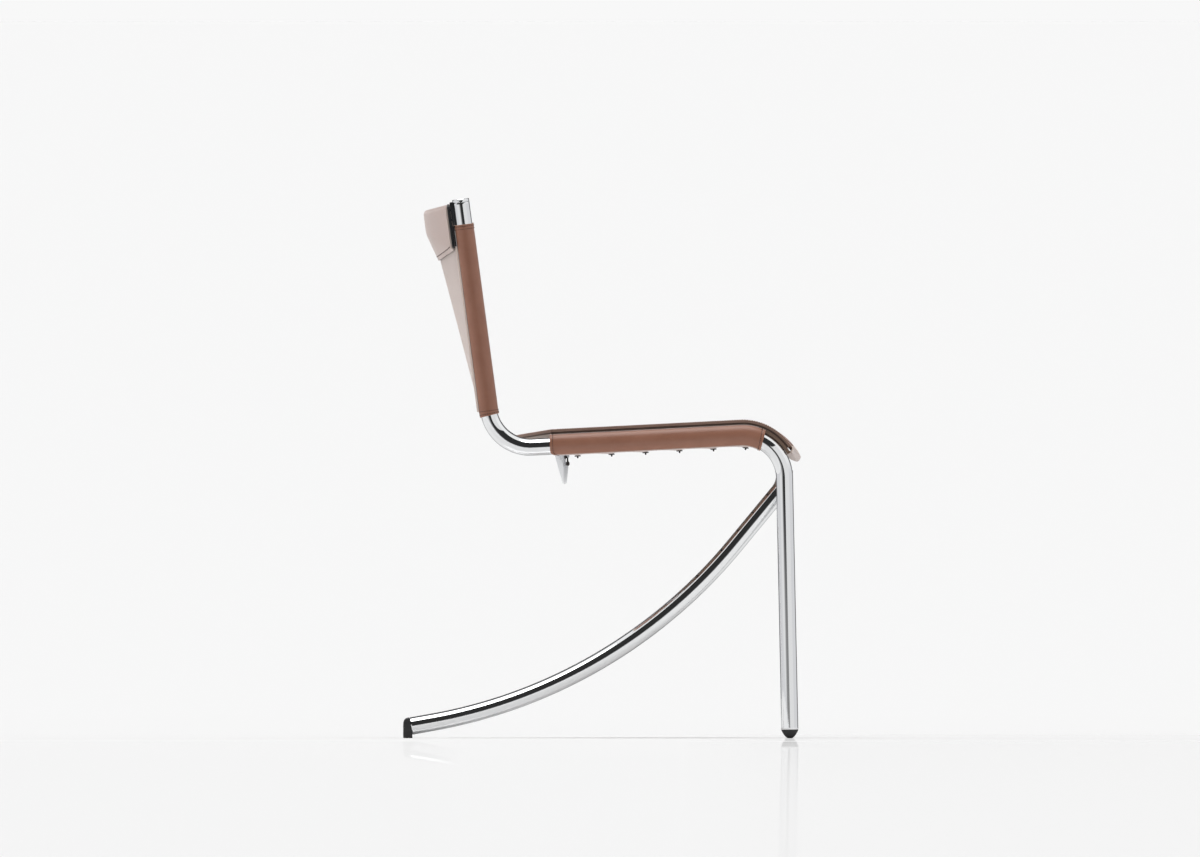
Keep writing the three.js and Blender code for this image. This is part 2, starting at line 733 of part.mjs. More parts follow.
// Stretcher: a creased strap, broad at the rails and bowed down to a narrow middle. A slot
// near each end takes the lacing.
const stretcherEndTop = stretcherEndDrop - stretcherCrease - stretcherSheet;
const stretcherHalf = halfSpacing - Math.sqrt(sleeveInner ** 2 - stretcherEndTop ** 2);
const stretcherMiddle = fromRearCorner(stretcherRear + stretcherEndWidth / 2);
const stretcherHeight = (across) =>
  -stretcherDrop + (stretcherDrop - stretcherEndDrop) * (across / stretcherHalf) ** 2;
const stretcherShares = [0, 0.17, 0.34, 0.5, 0.67, 0.84, 1];
const stretcherRows = mirrored(stretcherShares.map((s) => s * stretcherHalf)).map((across) => {
  const share = Math.abs(across) / stretcherHalf;
  const half = THREE.MathUtils.lerp(stretcherMidWidth, stretcherEndWidth, share) / 2;
  return [-1, 0, 1].map((edge) => {
    const along = stretcherMiddle + edge * half;
    const low = stretcherHeight(across) + stretcherCrease * Math.abs(edge);
    return [railPoint(along, low + stretcherSheet, across), railPoint(along, low, across)];
  });
});
const slotAcross = stretcherHalf - slotFromEnd - slotLength / 2;
const slotAlong = stretcherMiddle + stretcherEndWidth / 4;
const stretcherSlots = sides.map(({ sign }) => {
  const slot = new THREE.BoxGeometry(slotWidth, slotLength, stretcherDrop);
  const middle = railPoint(slotAlong, stretcherHeight(slotAcross), sign * slotAcross);
  return slot.translate(middle.x, middle.y, middle.z);
});
addPiece("seat_stretcher", cut(sheet(stretcherRows), stretcherSlots), chrome);

// Lacing cord: one length that starts in the stretcher's slot, crosses under the seat from
// eyelet to eyelet, and steps forward above the flap between crossings.
const cordRadius = cordDiameter / 2;
const cordAbove = eyeletTop + touch + cordDiameter;
const cordBelow = flangeBottom - touch - cordRadius;
const slotCordAcross = slotAcross + slotLength / 4;
const startSide = -1;
const slotCordHeight = stretcherHeight(slotCordAcross);
const slotTop = slotCordHeight + stretcherCrease + stretcherSheet;
const clearOfStretcher = stretcherMiddle + stretcherEndWidth / 2 + 2 * cordDiameter;
const cordCorners = [
  railPoint(slotAlong, slotCordHeight - 2 * cordDiameter, startSide * slotCordAcross),
  railPoint(slotAlong, slotTop + 2 * cordDiameter, startSide * slotCordAcross),
  railPoint(clearOfStretcher, cordAbove, startSide * (slotCordAcross + 2 * cordDiameter)),
];
let cordSide = startSide;
eyeletPlaces.forEach((along) => {
  for (const side of [cordSide, -cordSide]) {
    const heights = side === cordSide ? [cordAbove, cordBelow] : [cordBelow, cordAbove];
    heights.forEach((height) => cordCorners.push(railPoint(along, height, side * eyeletAcross)));
  }
  cordSide = -cordSide;
});
const lastEyelet = eyeletPlaces.at(-1);
cordCorners.push(railPoint(lastEyelet + cordTail, cordAbove, cordSide * eyeletAcross));
const cordBends = cordCorners.slice(2);
const cordPath = new BentPath(
  cordCorners,
  cordBends.map(() => cordBend),
  cordBends.map(() => 2),
);
addPiece("lacing_cord", tubeAlong(cordPath, cordRadius, 0, 8), cordBlack);

export default chair;
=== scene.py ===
import math

import bpy
import bmesh
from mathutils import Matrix, Quaternion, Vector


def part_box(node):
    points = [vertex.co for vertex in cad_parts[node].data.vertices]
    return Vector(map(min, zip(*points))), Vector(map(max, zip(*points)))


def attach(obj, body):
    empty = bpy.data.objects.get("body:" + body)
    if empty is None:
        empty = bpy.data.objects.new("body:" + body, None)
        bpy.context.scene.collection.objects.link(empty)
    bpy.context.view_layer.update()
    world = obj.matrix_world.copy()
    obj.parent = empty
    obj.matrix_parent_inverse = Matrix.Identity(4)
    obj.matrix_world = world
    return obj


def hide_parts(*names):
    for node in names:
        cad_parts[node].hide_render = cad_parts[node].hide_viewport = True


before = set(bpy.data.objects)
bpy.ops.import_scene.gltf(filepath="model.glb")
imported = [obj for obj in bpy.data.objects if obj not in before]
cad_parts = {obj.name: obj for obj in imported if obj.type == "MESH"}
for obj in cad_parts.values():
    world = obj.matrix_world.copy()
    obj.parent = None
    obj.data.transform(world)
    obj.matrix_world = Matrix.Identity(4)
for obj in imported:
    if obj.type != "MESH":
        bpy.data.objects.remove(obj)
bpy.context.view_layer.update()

# A side chair: a sling back and a laced sling seat of saddle leather on a frame of bent,
# chromed tube. +X is the way the sitter faces, +Y the sitter's left. Sizes here are in
# millimetres, and mm turns them to metres where a mesh or the camera is made. Inside a
# material or the room's light, places and sizes are in metres.

mm = 0.001


# Camera. Level with the seat and square to the chair's right side, with a lens so long that
# the two side frames fall on each other. One pixel of the 1200 wide picture is 1.462 mm.

picture_width = 1200 * 1.462
look_down = math.radians(0.1)
camera_distance = 120000
picture_middle = Vector((-1.2, 0, 452.3))


def placed(name, data):
    """A new object in the scene, at the origin."""
    thing = bpy.data.objects.new(name, data)
    bpy.context.collection.objects.link(thing)
    return thing


lens = bpy.data.cameras.new("side_view")
lens.type = "ORTHO"
lens.ortho_scale = picture_width * mm
lens.clip_start = 1
lens.clip_end = 1500
camera = placed("side_view", lens)
to_camera = Vector((0, -math.cos(look_down), math.sin(look_down)))
camera.location = mm * (picture_middle + camera_distance * to_camera)
camera.rotation_euler = (math.pi / 2 - look_down, 0, 0)
bpy.context.scene.camera = camera
bpy.context.scene.view_settings.view_transform = "Standard"


# Studio floor. Pale paint under a faintly glossy coat, which runs on to the horizon, so that
# floor and wall meet unseen. The chrome mirrors only the part round the chair, as it would a
# paper sweep.


def colour(hex_code):
    """An sRGB colour written as hex, as the linear values that a shader takes."""
    parts = [int(hex_code[i : i + 2], 16) / 255 for i in (0, 2, 4)]
    return [c / 12.92 if c <= 0.04045 else ((c + 0.055) / 1.055) ** 2.4 for c in parts] + [1]


def join(node, inputs):
    """Gives a node's inputs their values, or links them to a socket or to another node."""
    for key, value in inputs.items():
        if isinstance(value, bpy.types.Node):
            value = next(socket for socket in value.outputs if socket.enabled)
        if isinstance(value, bpy.types.NodeSocket):
            node.id_data.links.new(value, node.inputs[key])
        else:
            node.inputs[key].default_value = value


def add_node(tree, kind, inputs=None, **settings):
    """Adds a node with its own settings and its inputs. A mix of colours takes them at 6 and 7."""
    node = tree.nodes.new("ShaderNode" + kind)
    for key, value in settings.items():
        setattr(node, key, value)
    join(node, inputs or {})
    return node


def finish_named(name):
    """A new material, its node tree and its surface shader."""
    finish = bpy.data.materials.new(name)
    finish.use_nodes = True
    return finish, finish.node_tree, finish.node_tree.nodes["Principled BSDF"]


def show_one_side(tree, place, surface):
    """Shows a surface on its front only: from behind, what stands past it is seen."""
    from_behind = add_node(tree, "BsdfTransparent")
    shown = {0: place.outputs["Backfacing"], 1: surface, 2: from_behind}
    join(tree.nodes["Material Output"], {"Surface": add_node(tree, "MixShader", shown)})


def floor_finish(name, coat):
    """Matt floor paint, a shade lighter behind the chair, under a coat given by its function."""
    finish, tree, paint = finish_named(name)
    place = add_node(tree, "NewGeometry")
    parts = add_node(tree, "SeparateXYZ", {0: place.outputs["Position"]}).outputs
    behind = add_node(tree, "MapRange", {"Value": parts["Y"], "From Min": -20, "From Max": 20})
    pale = add_node(
        tree, "Mix", {0: behind, 6: colour("eaeaea"), 7: colour("ececec")}, data_type="RGBA"
    )
    join(paint, {"Roughness": 0.9, "Specular IOR Level": 0, "Base Color": pale})
    share, roughness = coat(tree, parts)
    polish = add_node(tree, "BsdfGlossy", {"Color": colour("f6f6f6"), "Roughness": roughness})
    painted = add_node(tree, "MixShader", {0: share, 1: paint, 2: polish})
    show_one_side(tree, place, painted)
    return finish


def satin(tree, parts):
    """Round the chair: a satin coat, a little uneven, that is lost at a flat angle. From the
    front feet forward it is rubbed clear, so that at a flat angle it mirrors them."""
    position = add_node(tree, "NewGeometry").outputs["Position"]
    scuffs = add_node(tree, "TexNoise", {"Vector": position, "Scale": 9.0})
    even = add_node(tree, "MapRange", {"Value": scuffs, "To Min": 0.1, "To Max": 0.13})
    slant = add_node(tree, "LayerWeight", {"Blend": 0.5}).outputs["Facing"]
    share = add_node(
        tree, "MapRange", {"Value": slant, "From Min": 0.9, "To Min": even, "To Max": 0}
    )
    rubbed = add_node(
        tree, "MapRange", {"Value": parts["X"], "From Min": 0.12, "From Max": 0.24, "To Max": 0.33}
    )
    flat = add_node(tree, "MapRange", {"Value": slant, "From Min": 0.98, "From Max": 0.995})
    clear = add_node(tree, "Math", {0: rubbed, 1: flat}, operation="MULTIPLY")
    share = add_node(tree, "Math", {0: share, 1: clear}, operation="MAXIMUM")
    blur = add_node(tree, "MapRange", {"Value": flat, "To Min": 0.18, "To Max": 0})
    return share, blur


def mirror(tree, parts):
    """Far off, in front of the chair: a clear coat that weakens with distance. It shows the feet
    upside down, the rear ones faintly, and nothing between them."""
    fade = add_node(tree, "Math", {0: parts["Y"], 1: 0.04}, operation="MULTIPLY")
    fade = add_node(tree, "Math", {0: fade}, operation="EXPONENT")
    share = add_node(tree, "Math", {0: fade, 1: 0.3, 2: 0.075}, operation="MULTIPLY_ADD")
    front_foot = add_node(
        tree, "MapRange", {"Value": parts["X"], "From Min": 0.12, "From Max": 0.24}
    )
    rear_foot = add_node(
        tree, "MapRange", {"Value": parts["X"], "From Min": -0.2, "From Max": -0.26, "To Max": 0.25}
    )
    feet = add_node(tree, "Math", {0: front_foot, 1: rear_foot}, operation="MAXIMUM")
    share = add_node(tree, "Math", {0: share, 1: feet}, operation="MULTIPLY")
    past_wall = add_node(tree, "Math", {0: parts["Y"], 1: -3.03}, operation="LESS_THAN")
    return add_node(tree, "Math", {0: share, 1: past_wall}, operation="MULTIPLY"), 0.0


def full_turn(count):
    """The angles of so many equal steps round a circle."""
    return [2 * math.pi * i / count for i in range(count)]


near_edge = 2600
horizon = 600000
ring_sides = 96


def floor_ring(name, inner, outer, finish):
    """A flat ring, or a disc where inner is 0, on the floor round the chair."""
    mesh = bpy.data.meshes.new(name)
    points = [
        mm * r * Vector((math.cos(a), math.sin(a), 0))
        for r in (outer, inner)
        for a in full_turn(ring_sides)
    ]
    steps = [(i, (i + 1) % ring_sides) for i in range(ring_sides)]
    if inner:
        faces = [(ring_sides + i, i, j, ring_sides + j) for i, j in steps]
    else:
        points, faces = points[:ring_sides], [tuple(range(ring_sides))]
    mesh.from_pydata(points, [], faces)
    mesh.materials.append(finish)
    ring = placed(name, mesh)
    return ring


floor_ring("floor_near", 0, near_edge, floor_finish("satin_floor_paint", satin))
far_paint = floor_finish("polished_floor_paint", mirror)
far_floor = floor_ring("floor_far", near_edge, horizon, far_paint)
far_floor.visible_glossy = False


# Studio light. A wide soft lamp overhead, and a weaker one low on each side that the chrome
# doesn't mirror, in a pale room. The wall behind the camera is dark, which draws the dark
# stripe along each chromed tube, and part of the far wall is dimmer, which edges the tubes.


lamp_spread = math.radians(50)


def soft_lamp(name, strength, tilt_back, tilt_side, mirrored=True):
    """A soft lamp that shines down, tilted by so many degrees to the back and to the side."""
    lamp = bpy.data.lights.new(name, "SUN")
    lamp.energy = strength
    lamp.angle = lamp_spread
    piece = placed(name, lamp)
    piece.rotation_euler = (math.radians(tilt_back), math.radians(tilt_side), 0)
    piece.visible_glossy = mirrored


soft_lamp("overhead_softbox", 1.6, 4, -8)
soft_lamp("left_softbox", 0.7, -10, -66, mirrored=False)
soft_lamp("right_softbox", 0.45, -10, 66, mirrored=False)

room = bpy.data.worlds.new("pale_studio")
bpy.context.scene.world = room
room.use_nodes = True
tree = room.node_tree
tree.nodes.clear()
heading = add_node(tree, "TexCoord")
aim = add_node(tree, "SeparateXYZ", {0: heading.outputs["Generated"]}).outputs
upward, raised, behind = [
    add_node(
        tree,
        "MapRange",
        {"Value": aim[axis], "From Min": low, "From Max": high},
        interpolation_type="SMOOTHSTEP",
    )
    for axis, low, high in (("Z", 0.05, 0.5), ("Z", 0.03, 0.2), ("Y", 0.45, 0.75))
]
at_edges = add_node(
    tree,
    "MapRange",
    {"Value": aim["Y"], "From Min": 0.95, "From Max": 0.98, "To Min": 0.8, "To Max": 0},
)
dim_part = add_node(tree, "Math", {0: raised, 1: at_edges}, operation="MAXIMUM")
dim = add_node(tree, "Math", {0: dim_part, 1: behind}, operation="MULTIPLY")
ahead = add_node(tree, "MapRange", {"Value": aim["Y"], "From Min": 0.93, "From Max": 0.99})
open_room = add_node(tree, "Math", {0: upward, 1: ahead}, operation="MAXIMUM")
walls = add_node(
    tree, "Mix", {0: open_room, 6: colour("dcdcde"), 7: colour("f8f8f8")}, data_type="RGBA"
)
walls = add_node(tree, "Mix", {0: dim, 6: walls, 7: colour("606062")}, data_type="RGBA")
seen = add_node(tree, "Background", {"Color": colour("f8f8f8"), "Strength": 1.0})
mirrored_room = add_node(tree, "Background", {"Color": walls, "Strength": 1.0})
towards_wall = add_node(
    tree,
    "MapRange",
    {"Value": aim["Y"], "From Min": -0.95, "From Max": 0, "To Min": 0.17, "To Max": 0.6},
)
fill = add_node(tree, "Background", {"Color": colour("f6f6f6"), "Strength": towards_wall})
ray = add_node(tree, "LightPath").outputs
gloss_or_glass = {0: ray["Is Glossy Ray"], 1: ray["Is Transmission Ray"]}
in_gloss = add_node(tree, "Math", gloss_or_glass, operation="MAXIMUM")
lit = add_node(tree, "MixShader", {0: in_gloss, 1: fill, 2: mirrored_room})
shown = add_node(tree, "MixShader", {0: ray["Is Camera Ray"], 1: lit, 2: seen})
add_node(tree, "OutputWorld", {"Surface": shown})

wall_half = 6000
wall_away = 3000
wall_top = 6200

wall_cloth, tree, cloth = finish_named("black_screen_cloth")
# Black cloth with a painted glow low down, which stands in for light thrown up from the floor,
# and a pale board before it on each side, drawn as a glowing card. The right one is cut off on a
# slope, and the left one starts softly.
place = add_node(tree, "NewGeometry")
parts = add_node(tree, "SeparateXYZ", {0: place.outputs["Position"]}).outputs
# Painted glow: emission that stands in for light thrown up from the floor.
painted_floor_glow = add_node(
    tree,
    "MapRange",
    {"Value": parts["Z"], "From Min": 0.36, "From Max": 0.1, "To Min": 0.03, "To Max": 0.26},
    interpolation_type="SMOOTHSTEP",
)
right_of_gap = add_node(tree, "MapRange", {"Value": parts["X"], "From Min": 0.5, "From Max": 0.54})
slope = add_node(tree, "Math", {0: parts["X"], 1: -1.0, 2: parts["Z"]}, operation="MULTIPLY_ADD")
under_slope = add_node(tree, "MapRange", {"Value": slope, "From Min": 0.24, "From Max": 0.2})
right_board = add_node(tree, "Math", {0: right_of_gap, 1: under_slope}, operation="MULTIPLY")
left_of_gap = add_node(
    tree,
    "MapRange",
    {"Value": parts["X"], "From Min": -0.7, "From Max": -2.1},
    interpolation_type="SMOOTHSTEP",
)
under_top = add_node(tree, "MapRange", {"Value": parts["Z"], "From Min": 0.95, "From Max": 0.9})
left_board = add_node(tree, "Math", {0: left_of_gap, 1: under_top}, operation="MULTIPLY")
boards = add_node(tree, "Math", {0: right_board, 1: left_board}, operation="MAXIMUM")
level = add_node(tree, "MapRange", {"Value": boards, "To Min": painted_floor_glow, "To Max": 0.8})
join(
    cloth,
    {
        "Base Color": colour("000000"),
        "Specular IOR Level": 0,
        "Emission Color": colour("ffffff"),
        "Emission Strength": level,
    },
)
show_one_side(tree, place, cloth)
wall_mesh = bpy.data.meshes.new("dark_wall")
wall_corners = [(-wall_half, 1), (wall_half, 1), (wall_half, wall_top), (-wall_half, wall_top)]
wall_corners = [mm * Vector((x, -wall_away, z)) for x, z in wall_corners]
wall_mesh.from_pydata(wall_corners, [], [(3, 2, 1, 0)])
wall_mesh.materials.append(wall_cloth)
wall = placed("dark_wall", wall_mesh)
wall.visible_camera = wall.visible_diffuse = wall.visible_shadow = False


# Side frames. One length of 25 mm steel tube each, 2 mm thick, bent twice on a former of
# 61.4 mm radius: back upright, seat rail and front leg. Polished and chromed all over.

tube_radius = 12.5
tube_bore = 10.5
tube_sides = 64
bend_radius = 61.4
half_spacing = 230
rail_rise = math.radians(2.9)
back_lean = math.radians(7.6)
leg_rake = math.radians(1.2)
rail_forward = Vector((math.cos(rail_rise), 0, math.sin(rail_rise)))
rail_up = Vector((-math.sin(rail_rise), 0, math.cos(rail_rise)))
back_up = Vector((-math.sin(back_lean), 0, math.cos(back_lean)))
back_rearward = Vector((-math.cos(back_lean), 0, -math.sin(back_lean)))
leg_down = Vector((math.sin(leg_rake), 0, -math.cos(leg_rake)))
rail_length = 424.3
back_length = 368.2
leg_height = 432
front_corner = Vector((267.3125, 0, 444))
rear_corner = front_corner - rail_length * rail_forward
back_top = rear_corner + back_length * back_up
leg_foot = front_corner + leg_height / math.cos(leg_rake) * leg_down
cap_height = 4.4
seam = 0.3
across_chair = Vector((0, 1, 0))
left_and_right = (("left", 1), ("right", -1))

chrome, tree, plate = finish_named("chrome_plate_on_steel_tube")
# Decorative chromium over nickel, buffed before plating: a near mirror, faintly cool. Its colour
# is painted grey where it turns away, a painted dark rim that stands in for the dark room that
# the tube's edges would mirror. The buffing wheel left haze in patches of 36 mm and waves of
# 17 mm.
turned_off = add_node(tree, "LayerWeight", {"Blend": 0.5}).outputs["Facing"]
# Painted shade: the colour runs to grey where the surface turns away.
rim = add_node(
    tree,
    "MapRange",
    {"Value": turned_off, "From Min": 0.5, "From Max": 0.8},
    interpolation_type="SMOOTHSTEP",
)
tone = add_node(tree, "Mix", {0: rim, 6: colour("f0f1f2"), 7: colour("98999c")}, data_type="RGBA")
place = add_node(tree, "TexCoord").outputs["Object"]
haze = add_node(tree, "TexNoise", {"Vector": place, "Scale": 28.0, "Detail": 4.0})
smear = add_node(tree, "MapRange", {"Value": haze, "To Min": 0.02, "To Max": 0.05})
ripple = add_node(tree, "TexNoise", {"Vector": place, "Scale": 60.0, "Detail": 1.0})
peel = add_node(tree, "Bump", {"Height": ripple, "Strength": 0.02, "Distance": 0.0006})
join(plate, {"Metallic": 1, "Base Color": tone, "Roughness": smear, "Normal": peel})


def bent_path(corners, radii, turn_step=2.0):
    """Points and headings along straight runs whose corners are bent to the given radii."""
    path = [(corners[0], (corners[1] - corners[0]).normalized())]
    for i, radius in enumerate(radii, 1):
        heading = (corners[i] - corners[i - 1]).normalized()
        onward = (corners[i + 1] - corners[i]).normalized()
        turn = heading.angle(onward)
        axis = heading.cross(onward).normalized()
        room = min((corners[i] - corners[i - 1]).length, (corners[i + 1] - corners[i]).length)
        radius = min(radius, 0.9 * room / math.tan(max(turn, 0.001) / 2))
        start = corners[i] - radius * math.tan(turn / 2) * heading
        centre = start + radius * axis.cross(heading)
        steps = max(4, math.ceil(math.degrees(turn) / turn_step))
        for k in range(steps + 1):
            bend = Quaternion(axis, turn * k / steps)
            path.append((centre + bend @ (start - centre), bend @ heading))
    path.append((corners[-1], (corners[-1] - corners[-2]).normalized()))
    return path


def lofted(rings, close=False):
    """Points and faces through rings, with faces over both ends unless it closes on itself."""
    around, count = len(rings[0]), len(rings)
    faces = []
    for i in range(count if close else count - 1):
        a, b = i * around, (i + 1) % count * around
        faces += [(a + k, a + (k + 1) % around, b + (k + 1) % around, b + k) for k in range(around)]
    if not close:
        faces += [tuple(range(around))[::-1], tuple(range((count - 1) * around, count * around))]
    return [point for ring in rings for point in ring], faces


def swept(stations, around, side, close=False):
    """Points and faces of rings set square along stations of point, heading and radius."""
    rings = []
    for point, heading, radius in stations:
        side = (side - side.dot(heading) * heading).normalized()
        lift = heading.cross(side)
        reaches = radius if isinstance(radius, list) else [radius] * around
        rings.append(
            [
                point + reach * (math.cos(angle) * side + math.sin(angle) * lift)
                for reach, angle in zip(reaches, full_turn(around))
            ]
        )
    return lofted(rings, close)


def joined_mesh(name, shapes):
    """One mesh from closed shapes of points and faces, with every face turned outward."""
    mesh = bpy.data.meshes.new(name)
    points, faces = [], []
    for shape_points, shape_faces in shapes:
        faces += [tuple(len(points) + i for i in face) for face in shape_faces]
        points += shape_points
    mesh.from_pydata([mm * p for p in points], [], faces)
    tidy = bmesh.new()
    tidy.from_mesh(mesh)
    bmesh.ops.recalc_face_normals(tidy, faces=tidy.faces)
    tidy.to_mesh(mesh)
    tidy.free()
    return mesh


def shade_to_crease(mesh, crease):
    """Shades a mesh smooth, but for edges that turn by more than crease degrees."""
    mesh.shade_smooth()
    mesh.set_sharp_from_angle(angle=math.radians(crease))


def solid_piece(name, shapes, finish, stands_for, crease=35):
    """One piece from closed shapes, which replaces the solids that it stands for."""
    mesh = joined_mesh(name, shapes)
    shade_to_crease(mesh, crease)
    mesh.materials.append(finish)
    piece = placed(name, mesh)
    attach(piece, "root")
    if stands_for:
        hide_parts(*stands_for)
    return piece


def tube_shape(path, lip=0.7):
    """A tube along a path, its mouths bored and their rims eased over the lip's length."""
    (first, ahead), (last, onward) = path[0], path[-1]
    start_run, end_run = [
        min(lip + 2, 0.9 * (a[0] - b[0]).length) for a, b in (path[:2], path[-2:])
    ]
    start = [
        (first + along * ahead, ahead, tube_radius - inset)
        for along, inset in ((0, lip), (0.3 * lip, 0.3 * lip), (lip, 0), (start_run, 0))
    ]
    end = [
        (last - along * onward, onward, tube_radius - inset)
        for along, inset in ((end_run, 0), (lip, 0), (0.3 * lip, 0.3 * lip), (0, lip))
    ]
    outside = start + [(point, heading, tube_radius) for point, heading in path[1:-1]] + end
    inside = [(point, heading, tube_bore) for point, heading in reversed(path)]
    return swept(outside + inside, tube_sides, across_chair, close=True)


def on_both_sides(finish, slot, *pieces, crease=35):
    """Pieces on each side of the chair: name, node, how far out, and the shapes, which are drawn
    in the plane between the sides."""
    for side, sign in left_and_right:
        for name, node, across, *shapes in pieces:
            out = sign * across * across_chair
            moved = [([point + out for point in points], faces) for points, faces in shapes]
            solid_piece(f"{name}_{side}", moved, finish, [f"{node}_{side}"], crease)


frame_tube = tube_shape(
    bent_path(
        [
            back_top - (cap_height + seam) * back_up,
            rear_corner,
            front_corner,
            leg_foot - seam * leg_down,
        ],
        [bend_radius, bend_radius],
    )
)
on_both_sides(chrome, "chrome", ("chromed_side_frame", "side_frame", half_spacing, frame_tube))


# Rear legs. The same tube rolled to one long curve of about 820 mm radius, then straight, and
# bent up at the top to lie along the front leg's inner side, where it is welded to it. A disc
# closes the top, and a thinner tube, coped to fit, ties the two legs under the seat.

chair_rear = -289
foot_rise = math.radians(10)
rear_leg_start = Vector((chair_rear + 11.7, 0, 17.3))
rear_leg_axis = Vector((math.cos(foot_rise), 0, math.sin(foot_rise)))
rear_leg_across = half_spacing - 2 * tube_radius - seam
weld_corner = front_corner + 74 * leg_down
weld_end = weld_corner - 16 * leg_down
weld_bend = 40
leg_straight = 85.3

# The rolled curve's two ends are as far from the point where their headings meet, and what is
# left of the run up to the weld is straight.
leg_span = weld_corner - rear_leg_start
sweep_run = leg_span.length_squared - leg_straight**2
sweep_run /= 2 * (leg_span.dot(rear_leg_axis) + leg_straight)
sweep_corner = rear_leg_start + sweep_run * rear_leg_axis
sweep_radius = sweep_run / math.tan((weld_corner - sweep_corner).angle(rear_leg_axis) / 2)

leg_corners = [rear_leg_start, sweep_corner, weld_corner, weld_end]
leg_path = bent_path(leg_corners, [sweep_radius, weld_bend], turn_step=1.2)
leg_tube = tube_shape(leg_path)
on_both_sides(chrome, "chrome", ("chromed_rear_leg", "rear_leg", rear_leg_across, leg_tube))

tie_radius = 11
tie_bore = 9
tie_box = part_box("leg_cross_tube")
tie_middle = (tie_box[0] + tie_box[1]) / 2 / mm
tie_middle.y = 0
leg_heading = min(leg_path, key=lambda station: (station[0] - tie_middle).length)[1]


def coped_end(sign, radius, gap):
    """A ring at the cross tube's end that follows the round of the rear leg."""
    ring = []
    for angle in full_turn(tube_sides):
        off = Vector((radius * math.cos(angle), 0, radius * math.sin(angle)))
        off_leg = (off - off.dot(leg_heading) * leg_heading).length
        reach = rear_leg_across - math.sqrt(tube_radius**2 - off_leg**2) - gap
        ring.append(tie_middle + off + sign * reach * across_chair)
    return ring


tie_ends = ((-1, tie_radius), (1, tie_radius), (1, tie_bore), (-1, tie_bore))
solid_piece(
    "chromed_leg_cross_tube",
    [lofted([coped_end(sign, radius, seam) for sign, radius in tie_ends], close=True)],
    chrome,
    ["leg_cross_tube"],
)

bead_radius = 1.3
bead_off = 4.6
bead_downs = (-15, -12, -9, -6, -3, -0.5)


def bead(points, side):
    """A weld bead along a line of points, faintly rippled, thin at its ends and plated over."""
    stations = []
    for i, point in enumerate(points):
        ahead = (points[min(i + 1, len(points) - 1)] - points[max(i - 1, 0)]).normalized()
        at_end = i in (0, len(points) - 1)
        swell = bead_radius * (0.93 + 0.07 * math.cos(3.0 * i)) * (0.4 if at_end else 1)
        stations.append((point, ahead, swell))
    return swept(stations, 10, side)


for name, sign in left_and_right:
    touching = sign * (rear_leg_across + tube_radius + seam / 2) * across_chair
    beads = [
        bead(
            [weld_end - down * leg_down + Vector((off, 0, 0)) + touching for down in bead_downs],
            across_chair,
        )
        for off in (-bead_off, bead_off)
    ]
    ring = coped_end(sign, tie_radius + 0.5, 3 * seam)
    beads.append(bead(ring[::2] + ring[:3:2], across_chair))
    solid_piece(f"leg_weld_{name}", beads, chrome, [])


# Caps. A turned and chromed plug closes the top of each side frame: its head is as wide as the
# tube, 4.4 mm high with an eased edge, and a fine seam shows under it. The rear legs' tops have
# the same head, welded on.

cap_edge = 1.1


def turned_shape(profile, origin, axis):
    """A piece turned about an axis: radius and height pairs from one end to the other."""
    stations = [(origin + height * axis, axis, max(radius, 0.01)) for radius, height in profile]
    return swept(stations, tube_sides, across_chair)


def eased(radius, height, edge, steps=5):
    """The rounded edge of a head: radius and height pairs."""
    turns = [math.pi / 2 * k / steps for k in range(steps + 1)]
    return [
        (radius - edge + edge * math.cos(a), height - edge + edge * math.sin(a)) for a in turns
    ]


cap_head = [(tube_radius - 0.9, 0), (tube_radius, 0.8), *eased(tube_radius, cap_height, cap_edge)]
cap_head.append((3, cap_height))
cap_plug = [(10.2, -14), (10.4, -13), (10.4, 0)]
back_cap = turned_shape([*cap_plug, *cap_head], back_top - cap_height * back_up, back_up)
leg_cap = turned_shape([(10, 0), *cap_head], weld_end - seam * leg_down, -leg_down)
on_both_sides(
    chrome,
    "chrome",
    ("chromed_tube_cap", "tube_cap", half_spacing, back_cap),
    ("chromed_leg_top", "rear_leg_cap", rear_leg_across, leg_cap),
)


# Feet. Moulded black rubber plugs pushed into the tubes: domed under the front legs, and a
# wedge with a flat sole under the rear legs, flush with the tube all round.

rubber, tree, skin = finish_named("moulded_black_rubber")
# Black natural rubber from a satin mould: nearly black and dull, with patches of grey dust
# 14 mm wide. The mould's grain is drawn at 1.1 mm, coarser than it is, so that it shows.
place = add_node(tree, "TexCoord").outputs["Object"]
grit = add_node(tree, "TexNoise", {"Vector": place, "Scale": 900.0, "Detail": 3.0})
dust = add_node(tree, "TexNoise", {"Vector": place, "Scale": 70.0, "Detail": 4.0})
tone = add_node(tree, "Mix", {0: dust, 6: colour("1b1b1d"), 7: colour("2c2c2e")}, data_type="RGBA")
worn = add_node(tree, "MapRange", {"Value": dust, "To Min": 0.45, "To Max": 0.7})
grain = add_node(tree, "Bump", {"Height": grit, "Strength": 0.25, "Distance": 0.0002})
join(skin, {"IOR": 1.52, "Base Color": tone, "Roughness": worn, "Normal": grain})

plug_mouth = 10.3
plug_shank = [(plug_mouth, 14), (9.5, 15)]
dome_depth = 12.35
dome = [(tube_radius * k / 18, -dome_depth * (1 - (k / 18) ** 2.3)) for k in range(2, 19)]
dome += [(tube_radius - 0.2, 0.2), (plug_mouth, 0.25)]


def on_floor(shape):
    """A shape with whatever lies under the floor pressed up to it."""
    return [Vector((p.x, p.y, max(p.z, 0))) for p in shape[0]], shape[1]


front_foot = on_floor(turned_shape([*dome, *plug_shank], leg_foot, -leg_down))

foot_lean = Vector((-rear_leg_axis.z, 0, rear_leg_axis.x))
foot_seat = rear_leg_start - seam * rear_leg_axis
foot_top = foot_seat + tube_radius * foot_lean
foot_bottom = foot_seat - tube_radius * foot_lean
knee_height = 19.3
sole_edge = 1.2
wedge_rounds = [(10.2, 0), (11.4, 0.4), (12.2, 1.2), (12.5, 2.2)]


